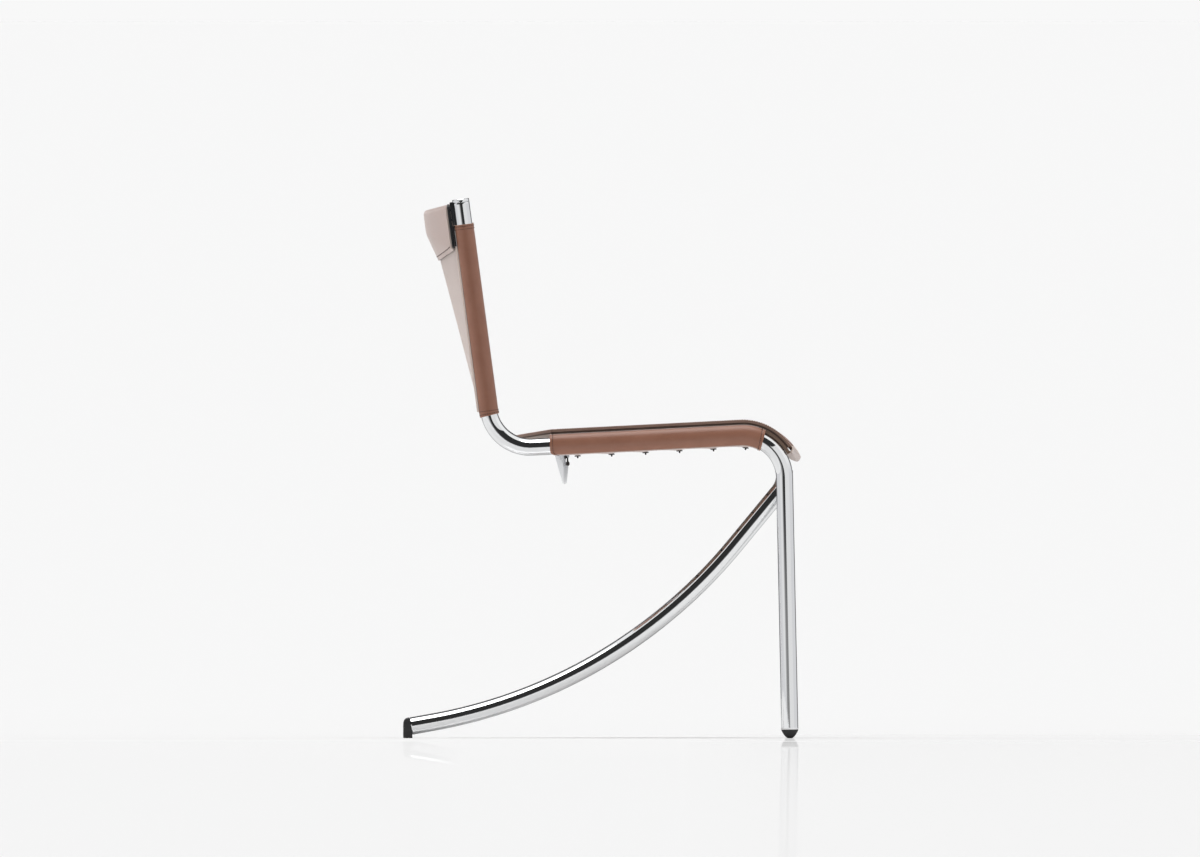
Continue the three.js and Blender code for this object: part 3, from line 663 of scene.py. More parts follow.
def wedge_outline(inset, across):
    """The rear foot's outline seen from the side, drawn in all round by inset."""
    knee = [
        Vector(
            (
                chair_rear + (foot_top.x - chair_rear) * t * t,
                0,
                foot_top.z - (foot_top.z - knee_height) * (1 - t) ** 2,
            )
        )
        for t in (0.9, 0.75, 0.6, 0.45, 0.3, 0.15, 0)
    ]
    outline = [
        Vector((foot_bottom.x, 0, 0)),
        foot_bottom,
        foot_top,
        *knee,
        Vector((chair_rear, 0, sole_edge)),
        Vector((chair_rear + sole_edge, 0, 0)),
    ]
    middle = sum(outline, Vector()) / len(outline)
    return [p + inset * (middle - p).normalized() + across * across_chair for p in outline]


outlines = [wedge_outline(inset, -across) for across, inset in reversed(wedge_rounds)]
outlines += [wedge_outline(inset, across) for across, inset in wedge_rounds]
plug = turned_shape([(plug_mouth, -0.2), *plug_shank], foot_seat, rear_leg_axis)
on_both_sides(
    rubber,
    "rubber",
    ("front_rubber_foot", "front_foot", half_spacing, front_foot),
    ("rear_rubber_foot", "rear_foot", rear_leg_across, on_floor(lofted(outlines)), plug),
    crease=50,
)


# Sling back. One piece of 2.2 mm saddle leather is stretched between two sleeves of thinner
# leather, wrapped once round each back tube, and sewn to their tails. At the top it is folded
# to the rear over a bowed steel plate and sewn down, which makes the headband.


def rounded(corners, radii, gap):
    """Points along a line whose corners are rounded, with no gap wider than the one given."""
    points = [point for point, _ in bent_path(corners, radii, turn_step=15)]
    filled = [points[0]]
    for point in points[1:]:
        count = max(1, math.ceil((point - filled[-1]).length / gap))
        start = filled[-1]
        filled += [start.lerp(point, (k + 1) / count) for k in range(count)]
    return filled


def resampled(points, count):
    """So many steps along a line of points, each an equal share of the points."""
    line = []
    for k in range(count + 1):
        spot = (len(points) - 1) * k / count
        i = min(int(spot), len(points) - 2)
        line.append(points[i].lerp(points[i + 1], spot - i))
    return line


def mirrored(values):
    """Places from one side to the other, from those of one half that start at the middle."""
    return [-v for v in reversed(values)] + values[1:]


def rows_of(line_at, columns):
    """A grid's rows, from the function that draws its line at each column."""
    return [list(row) for row in zip(*[line_at(y) for y in columns])]


def groove(distance, depth=0.5):
    """How deep the leather is pressed in beside a row of stitches."""
    return depth * math.exp(-((distance / 0.8) ** 2))


def leather_piece(
    name, rows, thickness, grain_side, finishes, stands_for, keep=None, ease=0.45
):
    """Leather from a grid of points on its grain side, with its edges eased. Its finishes are
    those of the grain side, the flesh side and the cut edge; three more are the last row's."""
    columns = len(rows[0])
    quads = [
        (a, a + 1, a + columns + 1, a + columns)
        for i in range(len(rows) - 1)
        for j in range(columns - 1)
        for a in [i * columns + j]
        if keep is None or keep(i, j)
    ]
    points = [p for row in rows for p in row]
    middle = quads[min(len(rows) // 2 * (columns - 1) + columns // 2, len(quads) - 1)]
    facing = (points[middle[2]] - points[middle[0]]).cross(points[middle[3]] - points[middle[1]])
    if facing.dot(grain_side) < 0:
        quads = [quad[::-1] for quad in quads]
    mesh = bpy.data.meshes.new(name)
    mesh.from_pydata([mm * p for p in points], [], quads)
    tidy = bmesh.new()
    tidy.from_mesh(mesh)
    bmesh.ops.delete(tidy, geom=[v for v in tidy.verts if not v.link_faces], context="VERTS")
    tidy.to_mesh(mesh)
    tidy.free()
    mesh.shade_smooth()
    for finish in finishes:
        mesh.materials.append(finish)
    if len(finishes) > 3:
        for face in list(mesh.polygons)[1 - columns :]:
            face.material_index = 3
    piece = placed(name, mesh)
    thick = piece.modifiers.new("hide_thickness", "SOLIDIFY")
    thick.thickness = thickness * mm
    thick.offset = -1
    thick.use_quality_normals = True
    thick.material_offset = 1
    thick.material_offset_rim = 2
    soft_edge = piece.modifiers.new("eased_edge", "BEVEL")
    soft_edge.width = ease * mm
    soft_edge.segments = 3
    soft_edge.limit_method = "ANGLE"
    soft_edge.angle_limit = math.radians(50)
    soft_edge.harden_normals = True
    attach(piece, "root")
    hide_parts(*stands_for)
    return piece


def leather_finish(name, base, deep, bloom, rough, sheen, painted_sheen=0.0):
    """Dyed leather: colour that drifts in clouds 40 mm wide, creases 4 mm apart, and a painted
    pale sheen mixed into the colour where it turns away. The pores are drawn coarse, at 1.4 mm,
    so that they show."""
    finish, tree, hide = finish_named(name)
    place = add_node(tree, "TexCoord").outputs["Object"]
    clouds = add_node(
        tree, "TexNoise", {"Vector": place, "Scale": 26.0, "Detail": 5.0, "Roughness": 0.6}
    )
    tone = add_node(tree, "Mix", {0: clouds, 6: colour(deep), 7: colour(bloom)}, data_type="RGBA")
    pores = add_node(tree, "TexVoronoi", {"Vector": place, "Scale": 700.0}).outputs["Distance"]
    pits = add_node(tree, "MapRange", {"Value": pores, "From Min": 0.05, "From Max": 0.4})
    creases = add_node(
        tree, "TexNoise", {"Vector": place, "Scale": 240.0, "Detail": 6.0, "Roughness": 0.65}
    )
    mixed = add_node(
        tree,
        "Mix",
        {0: creases, 6: tone, 7: colour(base)},
        data_type="RGBA",
        blend_type="MULTIPLY",
    )
    # Painted sheen: the colour is mixed toward a pale tone where the surface turns away.
    slant = add_node(tree, "LayerWeight", {"Blend": 0.5}).outputs["Facing"]
    painted_sheen_share = add_node(
        tree,
        "MapRange",
        {"Value": slant, "From Min": 0.5, "From Max": 0.68, "To Max": painted_sheen},
        interpolation_type="SMOOTHSTEP",
    )
    colour_with_painted_sheen = add_node(tree, "Mix", {0: painted_sheen_share, 6: mixed, 7: colour("f0e9e6")}, data_type="RGBA")
    worn = {"Value": clouds, "To Min": rough - 0.08, "To Max": rough + 0.08}
    relief = add_node(tree, "Math", {0: pits, 1: creases}, operation="ADD")
    bump = add_node(tree, "Bump", {"Height": relief, "Strength": 0.22, "Distance": 0.00035})
    join(
        hide,
        {
            "IOR": 1.5,
            "Base Color": colour_with_painted_sheen,
            "Roughness": add_node(tree, "MapRange", worn),
            "Sheen Weight": sheen,
            "Sheen Roughness": 0.35,
            "Sheen Tint": colour("fff2ea"),
            "Normal": bump,
        },
    )
    return finish


# Vegetable-tanned saddle leather: warm brown, with a strong painted pale sheen where it turns away.
saddle_leather = leather_finish(
    "saddle_leather_grain", "f6f0ec", "93634e", "aa7a65", 0.34, 0.12, 0.49
)
# The same leather a shade darker, with only a faint painted sheen where it turns away, for the
# back sleeves and the seat.
faint_sheen_leather = leather_finish(
    "sleeve_leather_grain", "f6f0ec", "8d5e4a", "a4745f", 0.34, 0.12, 0.05
)
# The unglazed flesh side: paler, matt and a little fibrous, with a painted pale sheen where it
# turns away.
flesh_side = leather_finish(
    "saddle_leather_flesh_side", "f2edeb", "ab938a", "c1ada5", 0.5, 0.4, 0.37
)
# A cut edge left raw: the pale undyed middle of the hide.
raw_edge = leather_finish("saddle_leather_raw_edge", "f7f2ee", "e6d3c8", "f3e8e0", 0.8, 0.2)
# The headband's lower cut edge where it is sewn down, coloured dark: a painted shade for the
# shadow under the lap.
lap_edge_painted_shade = leather_finish("saddle_leather_lap_edge_painted_shade", "e6dcd4", "3a2a22", "4c3a30", 0.5, 0.1)

thread_finish, tree, twist = finish_named("waxed_stitching_thread")
# Waxed linen thread, darker than the leather, whose twist shows as ribs 0.35 mm apart.
place = add_node(tree, "TexCoord").outputs["Object"]
plies = add_node(tree, "TexWave", {"Vector": place, "Scale": 900.0, "Distortion": 1.0})
plies = plies.outputs["Fac"]
tone = add_node(tree, "Mix", {0: plies, 6: colour("33201a"), 7: colour("5a3c2e")}, data_type="RGBA")
ribs = add_node(tree, "Bump", {"Height": plies, "Strength": 0.4, "Distance": 0.0001})
join(twist, {"Base Color": tone, "Roughness": 0.55, "Normal": ribs})

stitch_pitch = 3.6
stitch_length = 2.8
thread_radius = 0.55
proud = 0.1
# A stitch's form: share of its length, share of the thread's thickness, and how deep it lies.
stitch_form = ((0, 0.4, 0.5), (0.15, 0.85, 0.12), (0.5, 1, 0), (0.85, 0.85, 0.12), (1, 0.4, 0.5))


def stitches(line):
    """Stitches along a line of points and outward directions, each dipping in at its ends."""
    lengths = [0]
    for (a, _), (b, _) in zip(line, line[1:]):
        lengths.append(lengths[-1] + (b - a).length)
    count = int(lengths[-1] / stitch_pitch)
    spare = (lengths[-1] - count * stitch_pitch) / 2

    def place_at(distance):
        """The point and the outward direction so far along the line."""
        k = next((k for k in range(len(line) - 2) if distance <= lengths[k + 1]), len(line) - 2)
        share = (distance - lengths[k]) / max(lengths[k + 1] - lengths[k], 0.001)
        return line[k][0].lerp(line[k + 1][0], share), line[k][1].lerp(line[k + 1][1], share)

    shapes = []
    for n in range(count):
        start = spare + n * stitch_pitch + (stitch_pitch - stitch_length) / 2
        spots = [place_at(start + share * stitch_length) for share, _, _ in stitch_form]
        points = [p - sink * out for (p, out), (_, _, sink) in zip(spots, stitch_form)]
        heading = (points[-1] - points[0]).normalized()
        sizes = [size * thread_radius for _, size, _ in stitch_form]
        stations = [(point, heading, size) for point, size in zip(points, sizes)]
        shapes.append(swept(stations, 6, spots[0][1]))
    return shapes


back_sleeve_top = 36.6
back_sleeve_bottom = back_length - bend_radius * math.tan((-back_up).angle(rail_forward) / 2)
sleeve_outer = 14.1
sleeve_leather = 1.3
panel_leather = 2.2
panel_front = 14.4
panel_rear = panel_front + panel_leather
plate_front = 16.9
plate_rear = 20.9
bow_half = 224
back_bulge = 33.4
plate_bow = back_bulge - seam
bend_axis = (-back_up).cross(rail_forward).normalized()
rear_bend_start = back_top - back_sleeve_bottom * back_up
rear_bend_centre = rear_bend_start - bend_radius * bend_axis.cross(back_up)


def back_point(down, rearward, across):
    """A point behind the back tube's axis; past the straight it follows the tube's bend."""
    past = max(0, down - back_sleeve_bottom)
    turn = Quaternion(bend_axis, past / bend_radius)
    spot = rear_bend_start + min(0, down - back_sleeve_bottom) * -back_up + rearward * back_rearward
    spot = rear_bend_centre + turn @ (spot - rear_bend_centre) if past else spot
    return Vector((spot.x, across, spot.z))


def end_share(across):
    """How far out a place is: 0 in the middle of the back, 1 at the ends of its bow."""
    return min(1, (across / bow_half) ** 2)


def bow_at(across):
    """How much of the back's bow to the rear a place has."""
    return 1 - end_share(across)


def bulge_at(down):
    """How deep that bow is: 33.4 mm at the top, and nothing 278 mm further down."""
    return back_bulge * max(0, 1 - (max(down, 0) / 278) ** 1.1)


def band_top_at(across):
    """How far down the headband's top lies: 9 mm in the middle, 5.2 mm at its ends."""
    return 9 - 3.8 * end_share(across)


def plate_end_at(across):
    """How far down the plate ends: it is 35 mm deep in the middle and 65 mm at its ends."""
    return band_top_at(across) + 35 + 30 * end_share(across)


def lap_end_at(across):
    """How far down the lap ends: the headband is 76 mm deep, and 67 mm at its ends."""
    return band_top_at(across) + 76 - 9 * end_share(across)


def band_rear_at(across):
    """How far rearward the headband's rear face lies over the plate."""
    return plate_rear + seam + plate_bow * bow_at(across) + panel_leather


def lap_rear_at(across):
    """How far rearward it lies at the lap's end, where it is sewn to the panel."""
    return panel_rear + 2 * seam + bulge_at(lap_end_at(across)) * bow_at(across) + panel_leather


tail_seam = 213
panel_half = 233.5
band_half = 224
fold_half = 218
back_columns = [0, 22, 44, 66, 88, 110, 130, 148, 165, 180, 193, 203, 208, 211, 212.2, 213, 213.8]
back_columns = mirrored([*back_columns, 215, fold_half, 220, 222, band_half, 227, 230, panel_half])
seam_offset = 5.8
front_rows = 40
fold_rows = 8
fold_lead = 3
band_lead = 9
plate_lead = 8


def sling_profile(across):
    """The grain side of the back leather at one place: up the front, over the plate, down the
    rear to the headband's seam."""
    bow = bow_at(across)
    top, plate_end, lap_end = band_top_at(across), plate_end_at(across), lap_end_at(across)
    rear = band_rear_at(across)
    press = groove(abs(across) - tail_seam)
    line = []
    for k in range(front_rows + 1):
        down = back_sleeve_bottom + (back_sleeve_top - back_sleeve_bottom) * k / front_rows
        ripple = 0.25 * math.sin(down / 37 + across / 51) * bow
        line.append(back_point(down, panel_front + bulge_at(down) * bow + press + ripple, across))
    for k in range(1, fold_rows + 1):
        down = back_sleeve_top + (top + fold_lead - back_sleeve_top) * k / fold_rows
        line.append(back_point(down, panel_front + bulge_at(down) * bow, across))
    front = panel_front + bulge_at(top) * bow
    fold = bent_path(
        [
            Vector((front, 0, -top - fold_lead)),
            Vector((front, 0, -top)),
            Vector((rear - 0.4, 0, -top - 0.9)),
            Vector((rear, 0, -top - band_lead)),
        ],
        [2.4, 6.5],
        turn_step=15,
    )
    line += [back_point(-p.z, p.x, across) for p, _ in fold[1:]]
    band_run = plate_end - plate_lead - top - band_lead
    for k in range(1, fold_rows + 1):
        line.append(back_point(top + band_lead + band_run * k / fold_rows, rear, across))
    lower = rounded(
        [
            Vector((rear, 0, -plate_end + plate_lead)),
            Vector((rear, 0, -plate_end)),
            Vector((lap_rear_at(across), 0, -lap_end)),
        ],
        [34],
        gap=2.2,
    )
    for p in resampled(lower, 24)[1:]:
        line.append(back_point(-p.z, p.x - groove(lap_end + p.z - seam_offset), across))
    return line


def in_sling(i, j):
    """The panel runs in under the sleeves' tails; over them the headband is narrower."""
    reach = max(abs(back_columns[j]), abs(back_columns[j + 1]))
    if i < front_rows:
        return reach <= panel_half
    return reach <= (fold_half if i < front_rows + fold_rows else band_half)


sling_back = leather_piece(
    "sling_back_leather",
    rows_of(sling_profile, back_columns),
    panel_leather,
    -back_rearward,
    [saddle_leather, flesh_side, raw_edge, saddle_leather, flesh_side, lap_edge_painted_shade],
    ["back_panel", "back_headband"],
    keep=in_sling,
)

lap_line = []
for y in [v for v in back_columns if abs(v) < 222]:
    down = lap_end_at(y) - seam_offset
    along_lap = max(0, (down - plate_end_at(y)) / (lap_end_at(y) - plate_end_at(y)))
    out = band_rear_at(y) + (lap_rear_at(y) - band_rear_at(y)) * along_lap
    lap_line.append((back_point(down, out - proud, y), back_rearward))
seams = stitches(lap_line)
tail_places = range(44, 309, 6)
for sign in (1, -1):
    tail_line = []
    for down in tail_places:
        out = panel_rear + bulge_at(down) * bow_at(tail_seam)
        tail_line.append((back_point(down, out, sign * tail_seam), back_rearward))
    seams += stitches(tail_line)

sleeve_length = back_sleeve_bottom + 7 - back_sleeve_top
sleeve_seams = (2.9, 7.0)
hem_depth = 8.2
hem_rise = 0.3
wrap_start = 32
wrap_steps = 42
tail_reach = 20
tail_steps = 5


def sleeve_row(down, sign):
    """The grain side of a back sleeve round the tube at one place, and out along its tail."""
    ends = min(down - back_sleeve_top, sleeve_length + back_sleeve_top - down)
    hem = hem_rise * min(1, max(0, (hem_depth - ends) / 1.2))
    press = sum(groove(ends - line, 0.3) for line in sleeve_seams)
    radius = sleeve_outer + hem - press
    row = []
    for k in range(wrap_steps + 1):
        a = math.radians(wrap_start + (360 - wrap_start) * k / wrap_steps)
        across = sign * (half_spacing - radius * math.sin(a))
        row.append(back_point(down, radius * math.cos(a), across))
    for k in range(1, tail_steps + 1):
        inward = half_spacing - tail_reach * k / tail_steps
        row.append(
            back_point(down, radius - hem - groove(inward - tail_seam, 0.2), sign * inward)
        )
    return row


hem_places = [0, 0.8, 1.8, 2.4, 2.9, 3.4, 4.2, 5.6, 6.4, 7, 7.6, 8.4, 9.6]
plain_run = sleeve_length - 2 * hem_places[-1]
sleeve_places = hem_places + [hem_places[-1] + plain_run * k / 32 for k in range(1, 32)]
sleeve_places += [sleeve_length - v for v in reversed(hem_places)]
for name, sign in left_and_right:
    sleeve = leather_piece(
        f"back_sleeve_leather_{name}",
        [sleeve_row(back_sleeve_top + v, sign) for v in sleeve_places],
        sleeve_leather,
        Vector((1, 0, 0)),
        [faint_sheen_leather, flesh_side, raw_edge],
        [f"back_sleeve_{name}"],
        ease=0.35,
    )
    for row in (*sleeve_seams, *[sleeve_length - row for row in sleeve_seams]):
        down = back_sleeve_top + row
        axis_point = back_point(down, 0, sign * half_spacing)
        reach = sleeve_outer + proud
        loop = []
        for a in [math.radians(40 + 320 * k / 60) for k in range(61)]:
            across = sign * (half_spacing - reach * math.sin(a))
            spot = back_point(down, reach * math.cos(a), across)
            loop.append((spot, (spot - axis_point).normalized()))
        seams += stitches(loop)

solid_piece("back_stitching", seams, thread_finish, [])


# Back stiffener. A bowed steel plate, 4 mm thick and black lacquered, holds the headband
# open. At each end a spacer stands it off the tube, two countersunk screws hold it, and a thin
# rubber pad keeps it off the sleeve.

black_lacquer, tree, lacquer = finish_named("black_lacquered_steel")
# Stove enamel on steel: black with a soft satin gloss, a faint orange peel of 3 mm and wear in
# patches of 17 mm.
place = add_node(tree, "TexCoord").outputs["Object"]
ripple = add_node(tree, "TexNoise", {"Vector": place, "Scale": 350.0, "Detail": 2.0})
wear = add_node(tree, "TexNoise", {"Vector": place, "Scale": 60.0, "Detail": 5.0})
tone = add_node(tree, "Mix", {0: wear, 6: colour("161618"), 7: colour("222225")}, data_type="RGBA")
gloss = add_node(tree, "MapRange", {"Value": wear, "To Min": 0.32, "To Max": 0.5})
peel = add_node(tree, "Bump", {"Height": ripple, "Strength": 0.15, "Distance": 0.0002})
join(lacquer, {"Base Color": tone, "Roughness": gloss, "Normal": peel})


def eased_section(corners, edge):
    """A closed outline with each corner rounded."""
    outline = []
    for i, corner in enumerate(corners):
        before = (corners[i - 1] - corner).normalized()
        after = (corners[(i + 1) % len(corners)] - corner).normalized()
        for share, pull in ((0, 1), (0.5, 0.59), (1, 1)):
            outline.append(corner + before.lerp(after, share) * edge * pull)
    return outline


def eased_end(end, inner, edge):
    """The two outlines that round off a bar's end, from its tip inward."""
    middle = sum(end, Vector()) / len(end)
    ahead = (sum(inner, Vector()) / len(inner) - middle).normalized()
    tip = [p + edge * 0.7 * (middle - p).normalized() for p in end]
    return [eased_section(tip, edge * 0.5), eased_section([p + edge * ahead for p in end], edge)]


def strip_shape(sections, edge):
    """A bar or plate through sections of corner points, its edges and ends eased."""
    rings = eased_end(sections[0], sections[1], edge)
    rings += [eased_section(section, edge) for section in sections[1:-1]]
    return lofted(rings + eased_end(sections[-1], sections[-2], edge)[::-1])


def cut_out(piece, shapes):
    """Cuts closed shapes out of a piece."""
    cutter = placed("cutter", joined_mesh("cutter", shapes))
    hole = piece.modifiers.new("holes", "BOOLEAN")
    hole.operation = "DIFFERENCE"
    hole.solver = "EXACT"
    hole.object = cutter
    bpy.context.view_layer.update()
    shown = piece.evaluated_get(bpy.context.evaluated_depsgraph_get())
    whole = bpy.data.meshes.new_from_object(shown)
    piece.modifiers.clear()
    piece.data = whole
    bpy.data.objects.remove(cutter)
    shade_to_crease(whole, 35)


plate_half = 236
plate_corner = 5
# The plate lies under the headband's fold, and past the fold's ends it comes up level with it.
plate_stations = [0, 25, 50, 75, 100, 125, 147, 167, 184, 198, 208, 216, 222, 227, 231, 233]
plate_sections = []
for y in mirrored([*plate_stations, 234.8, 235.7, plate_half]):
    bow = plate_bow * bow_at(y)
    inside = min(1, max(0, (bow_half + 2 - abs(y)) / 4))
    over = max(0, abs(y) - (plate_half - plate_corner))
    round_off = plate_corner - math.sqrt(max(0, plate_corner**2 - over**2))
    upper = band_top_at(y) + inside * (panel_leather + seam) + round_off
    lower = plate_end_at(y) - seam - round_off - 4 * bow_at(y)
    plate_sections.append(
        [
            back_point(upper, plate_front + bow, y),
            back_point(upper, plate_rear + bow, y),
            back_point(lower, plate_rear + bow, y),
            back_point(lower, plate_front + bow, y),
        ]
    )
stiffener = solid_piece(
    "bowed_back_plate",
    [strip_shape(plate_sections, 0.6)],
    black_lacquer,
    ["back_stiffener"],
)

pad_corners = ((37, 14.5), (37, 16.7), (67, 16.7), (67, 14.5))
for name, sign in left_and_right:
    pad = [
        [back_point(down, rearward, sign * y) for down, rearward in pad_corners]
        for y in (226, 227, 233.5, 234.5)
    ]
    solid_piece(f"plate_end_pad_{name}", [strip_shape(pad, 0.15)], rubber, [])


def ringed(rings, origin):
    """A turned piece along the screws' axis: radius, height, and 1 where a ring is six-sided."""
    around = 24
    stations = []
    for radius, height, six_sided in rings:
        size = [
            radius * (math.cos(math.pi / 6) / math.cos(a - math.pi / 6) if six_sided else 1)
            for a in [turn % (math.pi / 3) for turn in full_turn(around)]
        ]
        stations.append((origin + height * back_rearward, back_rearward, size))
    return swept(stations, around, across_chair)


screw_downs = (13, 28)
screw_hole = [(2.3, -8, 0), (2.3, -2.1, 0), (4.1, -0.15, 0), (4.1, 2, 0)]
screw_body = [(1.9, -10, 0), (1.9, -2.1, 0)]
screw_head = [(3.75, -0.35, 0), (3.9, -0.2, 0), (3.8, -0.05, 0), (2.0, -0.05, 0)]
screw_socket = [(1.7, -0.2, 1), (1.7, -1.8, 1), (0.3, -2.2, 0)]
spacer_top = 3
spacer_height = 33
spacer_half = 5.5
saddle_steps = (spacer_half, 3.7, 1.8, 0, -1.8, -3.7, -spacer_half)
saddle = [(math.sqrt(tube_radius**2 - y * y) + seam, y) for y in saddle_steps]
spacer_outline = [(plate_front - seam, -spacer_half), (plate_front - seam, spacer_half), *saddle]

for name, sign in left_and_right:
    places = [back_point(down, plate_rear, sign * half_spacing) for down in screw_downs]
    cut_out(stiffener, [ringed(screw_hole, place) for place in places])
    spacer = [
        [back_point(spacer_top + v, out, sign * half_spacing + y) for out, y in spacer_outline]
        for v in (0, 8, spacer_height - 8, spacer_height)
    ]
    solid_piece(
        f"steel_spacer_{name}",
        [strip_shape(spacer, 0.5)],
        black_lacquer,
        [f"stiffener_spacer_{name}"],
    )
    for i, place in enumerate(places, 1):
        solid_piece(
            f"hex_socket_screw_{name}_{i}",
            [ringed([*screw_body, *screw_head, *screw_socket], place)],
            black_lacquer,
            [f"stiffener_screw_{name}_{i}"],
        )


# Sling seat. A top of 3.4 mm saddle leather and a thinner lining dish between the rails and
# turn down over the front bends. They are sewn to a sleeve that wraps the outer side of each
# rail, whose flap underneath carries the eyelets.

seat_half = 233
lining_half = 232.4
dish_half = 228
ply = 3.4
lining_ply = 2.2
crown_height = 17.7
top_height = 23.9
lining_height = top_height - ply - seam
front_bend_run = bend_radius * math.tan(rail_forward.angle(leg_down) / 2)
bend_start = front_corner - front_bend_run * rail_forward
bend_centre = bend_start - bend_radius * rail_up
sleeve_rear = 84 - (rail_length - front_bend_run)
flap_end = bend_radius * math.radians(62.5)
sleeve_front = bend_radius * math.radians(31)
front_curve = 12
rear_curve = 62
seat_dip = 16
bend_dip = 7.2
hang_start = 38
hang_run = 30
hang_off = 3.2


def rail_point(along, height, across):
    """A point over the rail: along it from the front bend's start, square to it, across."""
    turn = Quaternion(across_chair, max(along, 0) / bend_radius)
    spot = bend_centre + (bend_radius + height) * (turn @ rail_up) + min(along, 0) * rail_forward
    return Vector((spot.x, across, spot.z))


def dish_at(across):
    """How much of the dish's depth a place has: 1 in the middle, 0 over the rails."""
    return max(0, 1 - (across / dish_half) ** 2)


def front_edge_at(across):
    """How far along the seat's front edge lies: it bows forward and down."""
    return flap_end + front_curve * dish_at(across)


def rear_edge_at(across):
    """How far along the seat's rear edge lies: it bows to the rear."""
    return sleeve_rear - rear_curve * dish_at(across)


def lie_at(along, across):
    """How far the leather lies over its level at the rails. It dips between them, and over the
    front bend it hangs straighter than the tube's curve."""
    dish = dish_at(across)
    if along > 0:
        dip = bend_dip * max(0, 1 - along / sleeve_front)
    else:
        off_middle = min(1, abs(along / (sleeve_rear / 2) - 1))
        dip = seat_dip - (seat_dip - bend_dip) * off_middle**2
    share = min(1, max(0, (along - hang_start) / hang_run))
    stand_off = hang_off * share * share * (3 - 2 * share)
    return stand_off * dish**0.5 - dip * dish


# The seat's cut edges, burnished with wax: smooth and much darker than the grain.
burnished_edge = leather_finish(
    "saddle_leather_burnished_edge", "e6dcd4", "84695c", "957a6c", 0.5, 0.1
)
# The lining's own cut edge, in the shade under the top layer: coloured nearly black brown, a
# painted shade.
lining_edge_painted_shade = leather_finish("lining_leather_edge_painted_shade", "e6dcd4", "4a382f", "5c483d", 0.6, 0.1)
# The lining: the same hide with its flesh side glued inward, a shade greyer and duller.
lining_leather = leather_finish("lining_leather_grain", "ece4de", "6b5648", "826a58", 0.6, 0.3)

seat_seam = 226
edge_seam = 7
hem_cover = 4.4
seat_columns = [0, 25, 50, 75, 100, 125, 147, 167, 184, 198, 209, 217, 222, 224.6, 225.4, seat_seam]
seat_columns = mirrored([*seat_columns, 226.6, 227.4, 229.5, 231.5, seat_half])
edge_places = [0, 1.5, 3.5, 5.4, 6.3, edge_seam, 7.7, 8.6, 11, 15]
edge_run = edge_places[-1]


def seat_line(height, across, stitched):
    """The upper side of a seat layer from its rear edge to its front edge, at one place."""
    rear = rear_edge_at(across)
    front = front_edge_at(across) - hem_cover
    places = [rear + v for v in edge_places]
    places += [(rear + edge_run) * (1 - k / 30) for k in range(1, 31)]
    places += [(front - edge_run) * k / 22 for k in range(1, 22)]
    places += [front - v for v in reversed(edge_places)]
    line = []
    for along in places:
        ripple = 0.35 * math.sin(along / 43 + across / 60) * math.sin(along / 71)
        lie = lie_at(along, across) + ripple * dish_at(across)
        if stitched:
            off_seams = [abs(across) - seat_seam]
            if abs(across) < seat_seam:
                off_seams += [along - rear - edge_seam, front - along - edge_seam]
            lie -= max(groove(off) for off in off_seams)
        line.append(rail_point(along, height + lie, across))
    return line


def seat_layer(name, node, half, height, thickness, stitched, slot, finish, edge):
    """One of the seat's two layers, from its upper side. Only the top one shows its stitching."""
    layer = leather_piece(
        name,
        rows_of(
            lambda across: seat_line(height, across, stitched),
            [y * half / seat_half for y in seat_columns],
        ),
        thickness,
        Vector((0, 0, 1)),
        [finish, lining_leather, edge],
        [node],
        ease=0.7,
    )


lining_sizes = (lining_half, lining_height, lining_ply, False)
top_sizes = (seat_half, top_height, ply, True)
lining_looks = ("lining_leather", lining_leather, lining_edge_painted_shade)
top_looks = ("saddle_leather", faint_sheen_leather, burnished_edge)
seat_layer("seat_lining_layer", "seat_lining", *lining_sizes, *lining_looks)
seat_layer("seat_top_layer", "seat_panel", *top_sizes, *top_looks)


def on_seat(along, across):
    """A stitch's place on the seat's top, and the way out of the leather there."""
    up = (rail_point(along, 1, 0) - rail_point(along, 0, 0)).normalized()
    return rail_point(along, top_height - proud + lie_at(along, across), across), up


seams = []
side_run = flap_end - sleeve_rear - 18
for sign in (1, -1):
    line = [on_seat(sleeve_rear + 8 + k * side_run / 60, sign * seat_seam) for k in range(61)]
    seams += stitches(line)
inner_columns = [y for y in seat_columns if abs(y) < 225]
seams += stitches([on_seat(rear_edge_at(y) + edge_seam, y) for y in inner_columns])
front_seam = hem_cover + edge_seam
seams += stitches([on_seat(front_edge_at(y) - front_seam, y) for y in inner_columns])

first_eyelet = -239.1
last_eyelet = 9.4
eyelet_places = [first_eyelet + (last_eyelet - first_eyelet) * i / 5 for i in range(6)]
flap_rear = -245.1
wrap_angles = [math.radians(140 - 230 * k / 30) for k in range(31)]
flap_steps = [1, 3, 6, 10, 14, 17, 20, 23, 25.5, 28]
wrap_seam = 4.2


def drawn_down(along):
    """How far the lacing pulls the flap down: steeply in front of an eyelet, slowly behind it."""
    pulls = [(along - place) / (16 if along < place else 4.5) for place in eyelet_places]
    return 1.7 * max(math.exp(-pull * pull) for pull in pulls)


def wrap_ends(rise):
    """Where the sleeve's two ends lie; under the rail the rear one clears the stretcher."""
    rear = sleeve_rear - 2 + (rise**2 if rise > 0 else 7.8 * rise**6)
    return rear, sleeve_front + 0.65 - 3.55 * rise


def wrap_point(along, angle, off, sign):
    """A point round the rail on the sleeve, off its grain side; the sleeve's top is crowned."""
    rise = math.sin(angle)
    crown = crown_height if rise > 0 else sleeve_outer
    across = sign * (half_spacing + (sleeve_outer + off) * math.cos(angle))
    return rail_point(along, (crown + off) * rise, across)


